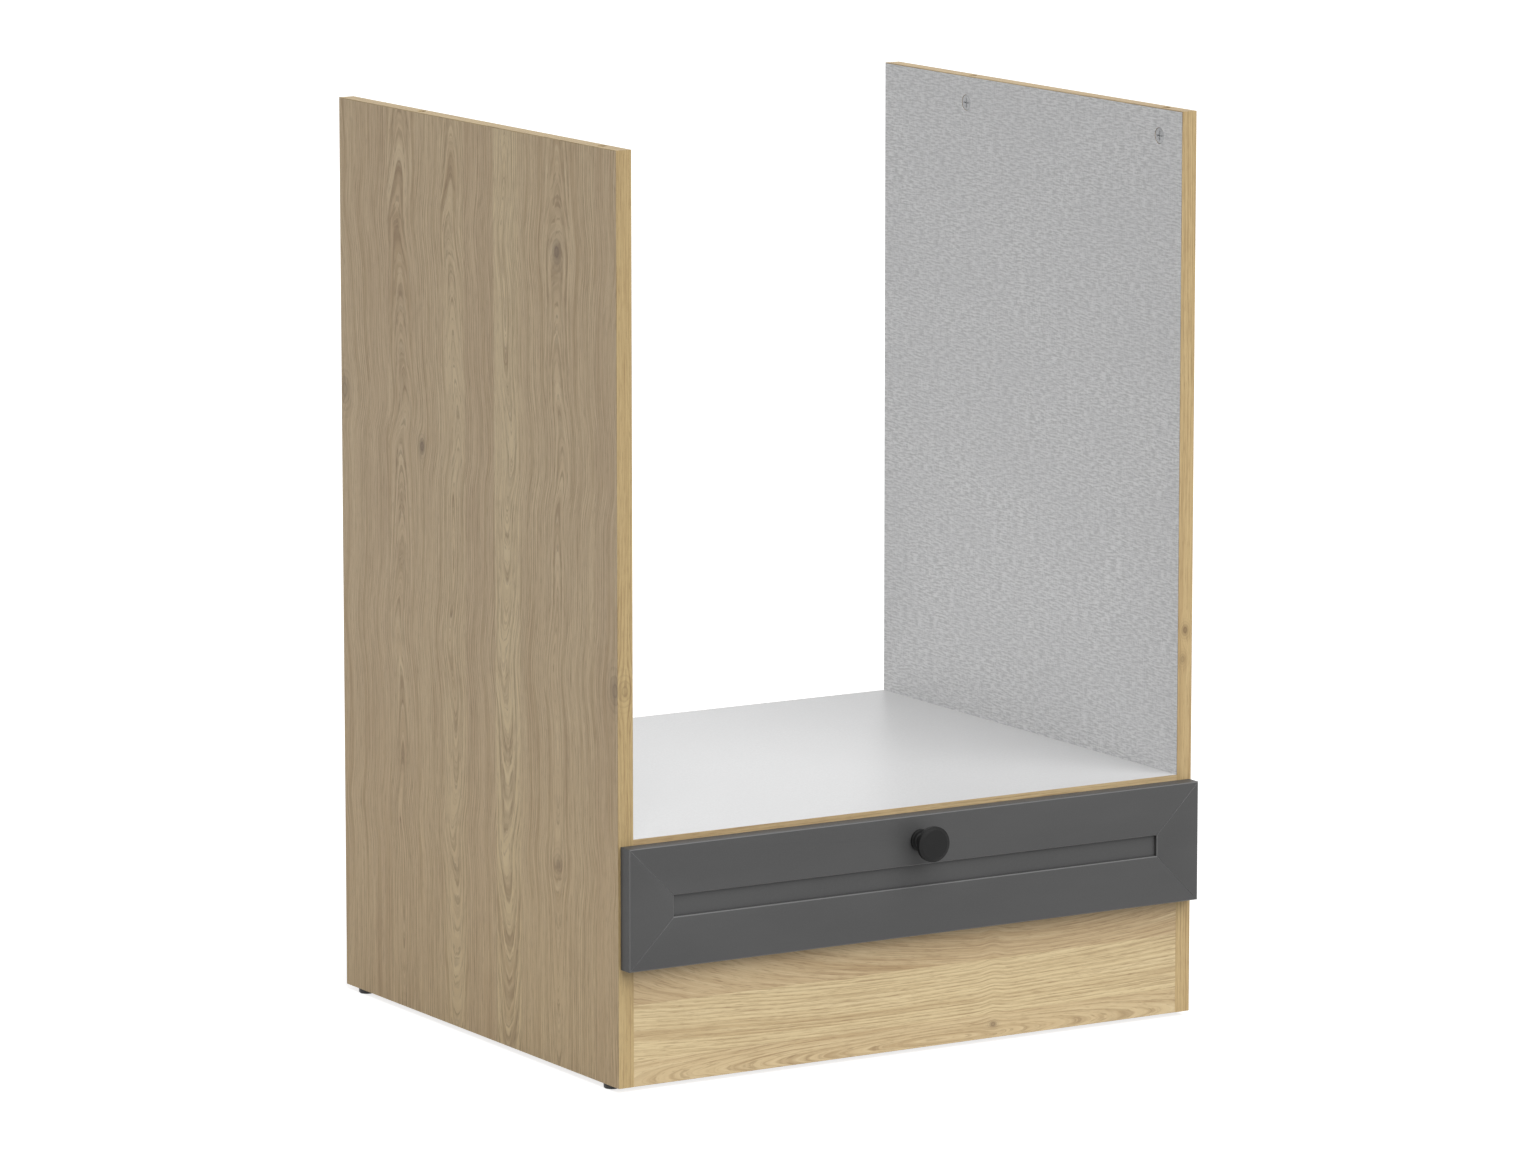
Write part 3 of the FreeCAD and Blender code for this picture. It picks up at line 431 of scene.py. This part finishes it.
def beech_finish():
    """Plain beech with short flecks."""
    finish = Finish("beech", 0.6)
    flecks = finish.noise(finish.x * 900.0, finish.y * 250.0, finish.z * 900.0, 3.0, 0.6)
    finish.colour(finish.mix(flecks.over(0.35, 0.65), tone(206, 172, 128), tone(222, 192, 150)))
    finish.emboss(flecks, 0.00004)
    return finish.material


left_staves = [(-0.191, -0.240, 0.36, 0.050), (-0.148, -0.050, 0.30, 0.020), (-0.104, -0.125, 0.30, 0.050),
               (-0.058, -0.160, 0.60, 0.020), (-0.014, -0.036, 0.72, 0.060), (0.039, 0.090, 0.40, 0.020),
               (0.082, 0.061, 0.43, 0.065), (0.129, 0.030, 0.20, 0.030), (0.180, 0.157, 0.12, 0.055),
               (0.216, 0.260, 0.50, 0.010), (LAST_STAVE, 0.300, 0.30, 0.080)]
left_knots = [(0.728, -0.1255, 0.0078, 0.60), (0.526, 0.1185, 0.0046, 0.60), (0.3560, -0.2240, 0.0085, 0.38),
              (0.186, -0.1243, 0.0060, 0.20), (0.560, 0.2640, 0.0080, 0.30)]
left_side = side_finish("oak_side_left", left_staves, left_knots, 2.0)
right_staves = [(-0.160, -0.190, 0.30, 0.050), (-0.110, -0.060, 0.40, 0.020), (-0.045, -0.080, 0.62, 0.055),
                (0.010, 0.070, 0.30, 0.020), (0.065, 0.036, 0.15, 0.060), (0.120, 0.020, 0.60, 0.020),
                (0.172, 0.146, 0.50, 0.060), (0.220, 0.280, 0.30, 0.030), (LAST_STAVE, 0.246, 0.40, 0.070)]
right_knots = [(0.610, 0.0600, 0.0060, 0.55), (0.3566, -0.2215, 0.0070, 0.50), (0.240, 0.1900, 0.0045, 0.55)]
right_side = side_finish("oak_side_right", right_staves, right_knots, 23.0)

# The two edgings are one decor; their casts differ as painted light and shade, to meet the photograph's light
# on each: the left edging is painted darker than the right.
left_band = band_finish("oak_edging_left", 71.0, [(0.3560, -0.2925, 0.0060, 0.12)], (0.66, 0.60, 0.47))
right_band_knots = [(0.3566, 0.2925, 0.0034, 0.50), (0.330, 0.2900, 0.0030, 0.30)]
right_band = band_finish("oak_edging_right", 83.0, right_band_knots, (0.75, 0.69, 0.56))
plinth_face = plinth_finish()
shelf_band = shelf_band_finish()
white_board = white_board_finish("white_melamine")
shelf_board = white_board_finish("white_melamine_shelf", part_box("oven_shelf")[1][1] - SKIN)
base_board = white_board_finish("white_melamine_base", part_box("bottom_panel")[1][1] - SKIN)
back_white = hardboard_finish("hardboard_back", BACK_FACE, "y")
base_white = hardboard_finish("hardboard_base", BASE_FACE, "z")
lacquer = lacquer_finish()
beech = beech_finish()
knob_black = speckled("matt_black_metal", tone(20, 20, 20), tone(25, 25, 25), 0.55, 900.0,
                      Specular_IOR_Level=0.2)
epoxy_white = speckled("epoxy_white_steel", tone(222, 222, 218), tone(232, 232, 228), 0.42, 1400.0, 0.00003)
nylon = speckled("white_nylon", tone(226, 226, 220), tone(234, 234, 229), 0.38, 500.0, 0.00001,
                 Subsurface_Weight=0.1)
zinc_cast = speckled("zinc_casting", tone(190, 191, 192), tone(206, 207, 208), 0.55, 900.0, 0.00003, 0.1,
                     Metallic=0.2)
zinc_plate = speckled("zinc_plated_steel", tone(190, 188, 180), tone(205, 204, 198), 0.3, 900.0, 0.00001,
                      0.08, Metallic=1.0)
glide_black = speckled("black_plastic", tone(24, 24, 25), tone(30, 30, 31), 0.5, 800.0)


# --------------------------------------------------------------------- pieces


def finish_node(name, material):
    """A construction piece that stays as it is and takes its finish."""
    thing = frame["nodes"][name]
    thing.data.materials.clear()
    thing.data.materials.append(material)


def fit(piece, body, slot, *nodes):
    """Let a finished piece ride on its body in place of the construction pieces."""
    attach(piece, body)
    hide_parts(*nodes)
    return piece


def mesh_piece(name, mesh, material):
    """A new piece in the scene, of one mesh and one material."""
    mesh.materials.clear()
    mesh.materials.append(material)
    piece = bpy.data.objects.new(name, mesh)
    bpy.context.scene.collection.objects.link(piece)
    return piece


def smooth_by_angle(mesh, degrees):
    for polygon in mesh.polygons:
        polygon.use_smooth = True
    mesh.set_sharp_from_angle(angle=math.radians(degrees))


def softened(node, material, slot, limit=30):
    """A copy of a construction piece with its arrises rounded off."""
    source = frame["nodes"][node]
    body = source["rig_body"]
    shape = bmesh.new()
    shape.from_mesh(source.data)
    bmesh.ops.remove_doubles(shape, verts=shape.verts, dist=1e-6)
    bmesh.ops.dissolve_limit(shape, angle_limit=math.radians(2), verts=shape.verts, edges=shape.edges)
    weight = shape.edges.layers.float.new("bevel_weight_edge")
    for edge in shape.edges:
        long_arris = edge.calc_length() > 0.004 and edge.calc_face_angle(0.0) > math.radians(limit)
        edge[weight] = 1.0 if long_arris else 0.0
    mesh = bpy.data.meshes.new(node + "_finished")
    shape.to_mesh(mesh)
    shape.free()
    piece = mesh_piece(node + "_finished", mesh, material)
    bevel = piece.modifiers.new("arris", "BEVEL")
    bevel.width = ARRIS
    bevel.segments = 2
    bevel.limit_method = "WEIGHT"
    bevel.harden_normals = True
    smooth_by_angle(mesh, 30)
    return fit(piece, body, slot, node)


def turned(name, profile, material, place, segments, smooth):
    """A turned piece: (radius, height) pairs from its bottom centre to its top centre, set by a matrix."""
    shape = bmesh.new()
    ring_before = None
    for radius, height in profile:
        if radius < 1e-7:
            ring = [shape.verts.new((0, 0, height))]
        else:
            ring = [shape.verts.new((radius * math.cos(2 * math.pi * step / segments),
                                     radius * math.sin(2 * math.pi * step / segments), height))
                    for step in range(segments)]
        if ring_before:
            for step in range(segments):
                corners = [ring_before[step % len(ring_before)], ring_before[(step + 1) % len(ring_before)],
                           ring[(step + 1) % len(ring)], ring[step % len(ring)]]
                unique = [corner for number, corner in enumerate(corners) if corner not in corners[:number]]
                shape.faces.new(unique)
        ring_before = ring
    bmesh.ops.recalc_face_normals(shape, faces=shape.faces)
    bmesh.ops.transform(shape, matrix=place, verts=shape.verts)
    mesh = bpy.data.meshes.new(name)
    shape.to_mesh(mesh)
    shape.free()
    smooth_by_angle(mesh, smooth)
    return mesh_piece(name, mesh, material)


def arc(centre_radius, centre_height, radius, start, end, steps=6):
    """Points of a rounded corner in a turned profile, angles in degrees."""
    return [(centre_radius + radius * math.cos(math.radians(start + (end - start) * step / steps)),
             centre_height + radius * math.sin(math.radians(start + (end - start) * step / steps)))
            for step in range(steps + 1)]


def facing(direction, place):
    """A matrix that sets a piece's own +Z along a direction, at a place."""
    turn = Vector(direction).to_track_quat("Z", "Y").to_matrix().to_4x4()
    return Matrix.Translation(place) @ turn


def drawer_knob():
    """Turned knob: crowned face inside a bevelled rim, waisted neck and a round base."""
    base = [(2.1, 0), (9.6, 0)] + arc(9.4, 0.6, 0.6, -60, 0, 4) + arc(9.2, 2.2, 0.8, 0, 90)
    neck = [(7.2, 3.3), (6.3, 4.2), (6.0, 5.6), (5.9, 9.0), (6.0, 13.5), (6.6, 16.0), (8.2, 18.1),
            (11.0, 19.1), (13.9, 19.45)]
    rim = arc(15.1, 20.4, 0.9, -90, 0) + [(16.0, 22.9)] + arc(15.4, 23.4, 0.6, 0, 55, 4) + [(13.5, 24.55)]
    face = arc(12.9, 24.35, 0.45, 70, 100, 3) + [(11.0, 24.72), (7.0, 24.9), (3.0, 24.98), (0, 25.0)]
    profile = [(radius * MM, height * MM) for radius, height in base + neck + rim + face]
    place = facing((0, -1, 0), (0, FRONT_FACE, KNOB_LEVEL))
    piece = turned("knob_turned", profile, knob_black, place, 96, 25)
    return fit(piece, "drawer", "knob_metal", "drawer_knob")


def runner_rollers():
    """Nylon rollers with rounded shoulders and a sunk ring in each face."""
    half = 3.7
    side = [(2.56, -half + 0.9), (4.6, -half + 0.9), (4.9, -half + 0.15)]
    side += [(7.9, -half)] + arc(8.2, -half + 0.8, 0.8, -90, 0, 5)
    upper = [(radius, -height) for radius, height in reversed(side)]
    profile = side + upper + [side[0]]
    for end in ("front", "rear"):
        for hand in ("left", "right"):
            body = "%s_%s_roller" % (end, hand)
            low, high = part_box(body)
            middle = (low + high) / 2
            piece = turned(body + "_nylon", [(r * MM, h * MM) for r, h in profile], nylon,
                           facing((1, 0, 0), middle), 64, 30)
            fit(piece, body, "roller_plastic", body)


class Pattern(Wiring):
    """A Geometry Nodes tree that makes one fitting from its sizes and sets it on every marked spot."""

    def __init__(self, name, sizes):
        super().__init__(bpy.data.node_groups.new(name, "GeometryNodeTree"))
        face = self.tree.interface
        face.new_socket("Spots", in_out="INPUT", socket_type="NodeSocketGeometry")
        self.keys = {}
        for size in sizes:
            socket = face.new_socket(size, in_out="INPUT", socket_type="NodeSocketFloat")
            self.keys[size] = socket.identifier
        face.new_socket("Pieces", in_out="OUTPUT", socket_type="NodeSocketGeometry")
        self.entry = self.node("NodeGroupInput")
        self.sizes = sizes

    def size(self, name):
        return Reading(self, self.entry.outputs[name])

    def turning(self, profile, sides):
        """A closed turned shape from (radius, height) pairs."""
        rings = self.node("GeometryNodeJoinGeometry")
        for (low_radius, low), (high_radius, high) in zip(profile, profile[1:]):
            cone = self.node("GeometryNodeMeshCone", fill_type="NONE")
            depth = high - low
            for key, value in (("Vertices", sides), ("Radius Top", high_radius),
                               ("Radius Bottom", low_radius), ("Depth", depth)):
                self.feed(cone.inputs[key], value)
            self.tree.links.new(self.moved(cone.outputs["Mesh"], 0.0, 0.0, low), rings.inputs[0])
        return self.node("GeometryNodeMergeByDistance", rings.outputs[0]).outputs[0]

    def moved(self, shape, x, y, z):
        shift = self.node("GeometryNodeTransform")
        self.tree.links.new(shape, shift.inputs["Geometry"])
        self.feed(shift.inputs["Translation"], self.point(x, y, z))
        return shift.outputs[0]

    def block(self, x_size, y_size, z_size, z):
        box = self.node("GeometryNodeMeshCube")
        self.feed(box.inputs["Size"], self.point(x_size, y_size, z_size))
        return self.moved(box.outputs["Mesh"], 0.0, 0.0, z)

    def cut(self, shape, *cutters):
        without = self.node("GeometryNodeMeshBoolean", operation="DIFFERENCE", solver="EXACT")
        self.tree.links.new(shape, without.inputs["Mesh 1"])
        for cutter in cutters:
            self.tree.links.new(cutter, without.inputs["Mesh 2"])
        return without.outputs["Mesh"]

    def finish(self, shape, material):
        """Set the shape on the spots and end the tree in one mesh with its material."""
        turn = self.node("GeometryNodeInputNamedAttribute", data_type="FLOAT_VECTOR")
        turn.inputs["Name"].default_value = "turn"
        spread = self.node("GeometryNodeInstanceOnPoints")
        self.tree.links.new(self.entry.outputs["Spots"], spread.inputs["Points"])
        self.tree.links.new(shape, spread.inputs["Instance"])
        self.tree.links.new(turn.outputs[0], spread.inputs["Rotation"])
        real = self.node("GeometryNodeRealizeInstances", spread.outputs[0])
        paint = self.node("GeometryNodeSetMaterial")
        self.tree.links.new(real.outputs[0], paint.inputs["Geometry"])
        paint.inputs["Material"].default_value = material
        leave = self.node("NodeGroupOutput")
        self.tree.links.new(paint.outputs[0], leave.inputs[0])

    def set_out(self, name, spots, material):
        """One mesh with the fitting on every (place, direction) spot."""
        marks = bpy.data.meshes.new(name + "_marks")
        marks.from_pydata([place for place, direction in spots], [], [])
        turns = marks.attributes.new("turn", "FLOAT_VECTOR", "POINT")
        for number, (place, direction) in enumerate(spots):
            turns.data[number].vector = Vector(direction).to_track_quat("Z", "Y").to_euler()
        carrier = bpy.data.objects.new(name + "_marks", marks)
        bpy.context.scene.collection.objects.link(carrier)
        modifier = carrier.modifiers.new("fitting", "NODES")
        modifier.node_group = self.tree
        for size, value in self.sizes.items():
            modifier[self.keys[size]] = value
        depsgraph = bpy.context.evaluated_depsgraph_get()
        mesh = bpy.data.meshes.new_from_object(carrier.evaluated_get(depsgraph))
        bpy.data.objects.remove(carrier)
        shape = bmesh.new()
        shape.from_mesh(mesh)
        bmesh.ops.remove_doubles(shape, verts=shape.verts, dist=1e-7)
        bmesh.ops.recalc_face_normals(shape, faces=shape.faces)
        shape.to_mesh(mesh)
        shape.free()
        mesh.name = name
        smooth_by_angle(mesh, 35)
        return mesh_piece(name, mesh, material)


def screws():
    """Cross-recess pan-head screws in the runners, and the longer one that holds the knob."""
    sizes = {"Head radius": 4.0 * MM, "Head thickness": 1.1 * MM, "Shank radius": 1.8 * MM,
             "Length": 11.0 * MM, "Recess width": 3.6 * MM, "Recess depth": 0.8 * MM}
    pattern = Pattern("pan_head_screw", sizes)
    head, thick = pattern.size("Head radius"), pattern.size("Head thickness")
    shank, length = pattern.size("Shank radius"), pattern.size("Length")
    profile = [(0.0, thick * -1.0), (head * 0.55, thick * -1.0), (head * 0.82, thick * -0.86),
               (head * 0.95, thick * -0.55), (head, thick * -0.2), (head, thick * 0.0), (shank, thick * 0.0)]
    turns = 6
    for turn in range(turns):
        start = length * (0.15 + 0.7 * turn / turns)
        profile += [(shank * 0.8, start), (shank, start + length * 0.055)]
    profile += [(shank * 0.8, length * 0.9), (0.0, length)]
    recess, deep = pattern.size("Recess width"), pattern.size("Recess depth")
    wide = recess * 0.28
    bottom = thick * -1.0
    shape = pattern.cut(pattern.turning(profile, 28), pattern.block(recess, wide, deep * 2.0, bottom),
                        pattern.block(wide, recess, deep * 2.0, bottom))
    pattern.finish(shape, zinc_plate)
    cabinet = [((sign * (INNER_FACE - STEEL), y, RUNNER_LEVEL), (sign, 0, 0))
               for sign in (-1, 1) for y in CABINET_SCREWS_Y]
    piece = pattern.set_out("cabinet_runner_screws_zinc", cabinet, zinc_plate)
    fit(piece, "carcass", "screw_steel", "cabinet_runner_screws")
    drawer = [((sign * DRAWER_SIDE_X, y, SEAT_LEVEL), (0, 0, 1)) for sign in (-1, 1) for y in DRAWER_SCREWS_Y]
    piece = pattern.set_out("drawer_runner_screws_zinc", drawer, zinc_plate)
    fit(piece, "drawer", "screw_steel", "drawer_runner_screws")
    pattern.sizes = {"Head radius": 4.0 * MM, "Head thickness": 2.2 * MM, "Shank radius": 1.8 * MM,
                     "Length": 27.0 * MM, "Recess width": 4.2 * MM, "Recess depth": 1.4 * MM}
    piece = pattern.set_out("knob_screw_zinc", [((0, FRONT_BACK, KNOB_LEVEL), (0, -1, 0))], zinc_plate)
    fit(piece, "drawer", "screw_steel", "knob_screw")


def rivets():
    """Axle rivets with a domed head beyond each roller and a flush end in the web."""
    sizes = {"Axle radius": 2.5 * MM, "Grip": 8.8 * MM, "Head radius": 4.0 * MM, "Head thickness": 1.0 * MM}
    pattern = Pattern("roller_rivet", sizes)
    axle, grip = pattern.size("Axle radius"), pattern.size("Grip")
    head, thick = pattern.size("Head radius"), pattern.size("Head thickness")
    profile = [(0.0, grip * 0.0), (axle * 0.85, grip * 0.0), (axle, grip * 0.02), (axle, grip),
               (head * 0.94, grip), (head, grip + thick * 0.2), (head * 0.9, grip + thick * 0.62),
               (head * 0.6, grip + thick * 0.92), (head * 0.25, grip + thick), (0.0, grip + thick)]
    pattern.finish(pattern.turning(profile, 40), zinc_plate)
    cabinet = [((sign * INNER_FACE, *FRONT_AXLE), (-sign, 0, 0)) for sign in (-1, 1)]
    fit(pattern.set_out("cabinet_roller_rivets_domed", cabinet, zinc_plate), "carcass", "screw_steel",
        "cabinet_roller_rivets")
    drawer = [((sign * DRAWER_OUTER_FACE, *REAR_AXLE), (sign, 0, 0)) for sign in (-1, 1)]
    fit(pattern.set_out("drawer_roller_rivets_domed", drawer, zinc_plate), "drawer", "screw_steel",
        "drawer_roller_rivets")


def cams():
    """Cast cams with a chamfered rim and a cross slot for the screwdriver."""
    sizes = {"Radius": 7.4 * MM, "Height": 12.0 * MM, "Slot length": 9.0 * MM, "Slot width": 1.4 * MM,
             "Slot depth": 1.8 * MM}
    pattern = Pattern("cam", sizes)
    radius, height = pattern.size("Radius"), pattern.size("Height")
    profile = [(0.0, height * 0.0), (radius * 0.93, height * 0.0), (radius, height * 0.04),
               (radius, height * 0.97), (radius * 0.95, height), (0.0, height)]
    length, width, deep = pattern.size("Slot length"), pattern.size("Slot width"), pattern.size("Slot depth")
    cross = [pattern.block(length, width, deep * 2.0, 0.0), pattern.block(width, length, deep * 2.0, 0.0)]
    pattern.finish(pattern.cut(pattern.turning(profile, 48), *cross), zinc_cast)
    top = [((sign * (INNER_FACE + CAM_SINK), y, WORKTOP_CAM_LEVEL), (sign, 0, 0))
           for sign in (-1, 1) for y in WORKTOP_CAMS_Y]
    fit(pattern.set_out("worktop_cams_cast", top, zinc_cast), "carcass", "cam_zinc", "worktop_cams")
    front = [((sign * DRAWER_CAM_X, DRAWER_CAM_Y, DRAWER_CAM_LEVEL), (sign, 0, 0)) for sign in (-1, 1)]
    fit(pattern.set_out("drawer_cams_cast", front, zinc_cast), "drawer", "cam_zinc", "drawer_cams")


def glides():
    """Round plastic glides with a softened foot and a press-in peg."""
    sizes = {"Radius": 7.5 * MM, "Height": 4.5 * MM, "Peg radius": 2.3 * MM, "Peg length": 10.0 * MM}
    pattern = Pattern("glide", sizes)
    radius, height = pattern.size("Radius"), pattern.size("Height")
    peg, length = pattern.size("Peg radius"), pattern.size("Peg length")
    profile = [(0.0, height * 0.0), (radius * 0.86, height * 0.0), (radius * 0.96, height * 0.1),
               (radius, height * 0.28), (radius, height), (peg, height)]
    for barb in range(3):
        start = height + length * (0.15 + 0.25 * barb)
        profile += [(peg, start), (peg * 0.8, start + length * 0.2)]
    profile += [(peg * 0.6, height + length), (0.0, height + length)]
    pattern.finish(pattern.turning(profile, 40), glide_black)
    spots = [((sign * GLIDE_X, y, 0.0), (0, 0, 1)) for sign in (-1, 1) for y in GLIDES_Y]
    fit(pattern.set_out("glides_moulded", spots, glide_black), "carcass", "glide_plastic", "glides")


def dowels_and_bolts():
    """Beech dowels with chamfered ends, and the bolts that the drawer cams draw in."""
    pattern = Pattern("dowel", {"Radius": 3.7 * MM, "Length": 30.0 * MM})
    radius, length = pattern.size("Radius"), pattern.size("Length")
    profile = [(0.0, length * 0.0), (radius * 0.78, length * 0.0), (radius, length * 0.04),
               (radius, length * 0.96), (radius * 0.78, length), (0.0, length)]
    pattern.finish(pattern.turning(profile, 20), beech)
    rows = [(y, level) for level in DOWEL_LEVELS for y in DOWELS_Y] + list(PLINTH_DOWELS)
    spots = [((sign * DOWEL_END_X, y, level), (-sign, 0, 0)) for y, level in rows for sign in (-1, 1)]
    fit(pattern.set_out("carcass_dowels_beech", spots, beech), "carcass", "dowel_beech", "carcass_dowels")
    spots = [((sign * DRAWER_SIDE_X, *FRONT_DOWELS), (0, 1, 0)) for sign in (-1, 1)]
    fit(pattern.set_out("drawer_dowels_beech", spots, beech), "drawer", "dowel_beech", "drawer_dowels")
    pattern = Pattern("cam_bolt", {"Shank radius": 3.1 * MM, "Length": 37.3 * MM, "Thread radius": 2.3 * MM,
                                   "Thread length": 10.0 * MM})
    shank, length = pattern.size("Shank radius"), pattern.size("Length")
    thread, grip = pattern.size("Thread radius"), pattern.size("Thread length")
    profile = [(0.0, grip * -1.0), (thread * 0.6, grip * -1.0)]
    for turn in range(5):
        start = grip * (-0.9 + 0.18 * turn)
        profile += [(thread * 0.75, start), (thread, start + grip * 0.09)]
    profile += [(thread * 0.8, grip * 0.0), (shank, grip * 0.0), (shank, length * 0.82),
                (shank * 0.5, length * 0.84), (shank * 0.5, length * 0.93), (shank * 0.95, length * 0.95),
                (shank * 0.95, length), (0.0, length)]
    pattern.finish(pattern.turning(profile, 24), zinc_plate)
    spots = [((sign * DRAWER_SIDE_X, FRONT_BACK, DRAWER_CAM_LEVEL), (0, 1, 0)) for sign in (-1, 1)]
    fit(pattern.set_out("drawer_cam_bolts_zinc", spots, zinc_plate), "drawer", "screw_steel",
        "drawer_cam_bolts")


def boards():
    """Finishes of the boards, and the rounded arrises of those that show them."""
    finish_node("left_side_panel", left_side)
    finish_node("right_side_panel", right_side)
    softened("left_side_edging", left_band, "oak_edging")
    softened("right_side_edging", right_band, "oak_edging")
    softened("oven_shelf_edging", shelf_band, "oak_edging")
    softened("bottom_panel_edging", shelf_band, "oak_edging")
    softened("plinth_board", plinth_face, "plinth_board")
    finish_node("oven_shelf", shelf_board)
    finish_node("bottom_panel", base_board)
    for name in ("drawer_left_side", "drawer_right_side", "drawer_back"):
        finish_node(name, white_board)
    finish_node("back_panel", back_white)
    finish_node("drawer_bottom", base_white)
    for name in ("left_cabinet_runner", "right_cabinet_runner", "left_drawer_runner", "right_drawer_runner"):
        softened(name, epoxy_white, "runner_steel")
    for name in ("front_top_rail", "front_bottom_rail", "front_left_stile", "front_right_stile"):
        softened(name, lacquer, "front_lacquer", 20)
    finish_node("front_panel", lacquer)


boards()
drawer_knob()
runner_rollers()
screws()
rivets()
cams()
glides()
dowels_and_bolts()


# ------------------------------------------------------------- studio and view


def studio_floor():
    """A plain pale floor that shows white to the eye and keeps a soft shadow."""
    material = bpy.data.materials.new("studio_floor")
    material.use_nodes = True
    floor = Wiring(material.node_tree)
    floor.tree.nodes.clear()
    seen = floor.seen_rays()
    matt = floor.node("ShaderNodeBsdfDiffuse", (0.52, 0.52, 0.52, 1.0)).outputs[0]
    glow = floor.node("ShaderNodeEmission", (1.0, 1.0, 1.0, 1.0), seen * 0.78).outputs[0]
    both = floor.node("ShaderNodeAddShader", matt, glow).outputs[0]
    floor.node("ShaderNodeOutputMaterial", both)
    shape = bmesh.new()
    bmesh.ops.create_grid(shape, x_segments=8, y_segments=8, size=60.0)
    mesh = bpy.data.meshes.new("studio_floor")
    shape.to_mesh(mesh)
    shape.free()
    piece = mesh_piece("studio_floor", mesh, material)


def studio_light():
    """Soft light from the front and above, and an even pale surround."""
    world = bpy.data.worlds.new("studio")
    bpy.context.scene.world = world
    world.use_nodes = True
    surround = Wiring(world.node_tree)
    surround.tree.nodes.clear()
    seen = surround.seen_rays()
    soft = surround.node("ShaderNodeBackground", (0.985, 0.99, 1.0, 1.0), 0.36).outputs[0]
    white = surround.node("ShaderNodeBackground", (1.0, 1.0, 1.0, 1.0), 1.0).outputs[0]
    both = surround.node("ShaderNodeMixShader", seen, soft, white).outputs[0]
    surround.node("ShaderNodeOutputWorld", both)
    lamp = bpy.data.lights.new("key", "SUN")
    lamp.energy = 2.76
    lamp.angle = math.radians(64)
    key = bpy.data.objects.new("key", lamp)
    key.rotation_euler = Vector((0.05, -0.66, 0.74)).to_track_quat("Z", "Y").to_euler()
    bpy.context.scene.collection.objects.link(key)


def camera():
    """A long lens from the front left, a little above the unit."""
    lens = bpy.data.cameras.new("view")
    lens.sensor_width = 36.0
    lens.lens = 188.3565
    lens.clip_end = 200.0
    eye = bpy.data.objects.new("view", lens)
    eye.location = (-3.741743, -6.129764, 1.611082)
    turn, tilt = 0.54701077, 0.16724841
    gaze = Vector((math.sin(turn) * math.cos(tilt), math.cos(turn) * math.cos(tilt), -math.sin(tilt)))
    eye.rotation_euler = gaze.to_track_quat("-Z", "Y").to_euler()
    bpy.context.scene.collection.objects.link(eye)
    bpy.context.scene.camera = eye


studio_floor()
studio_light()
camera()
bpy.context.scene.view_settings.view_transform = "Standard"
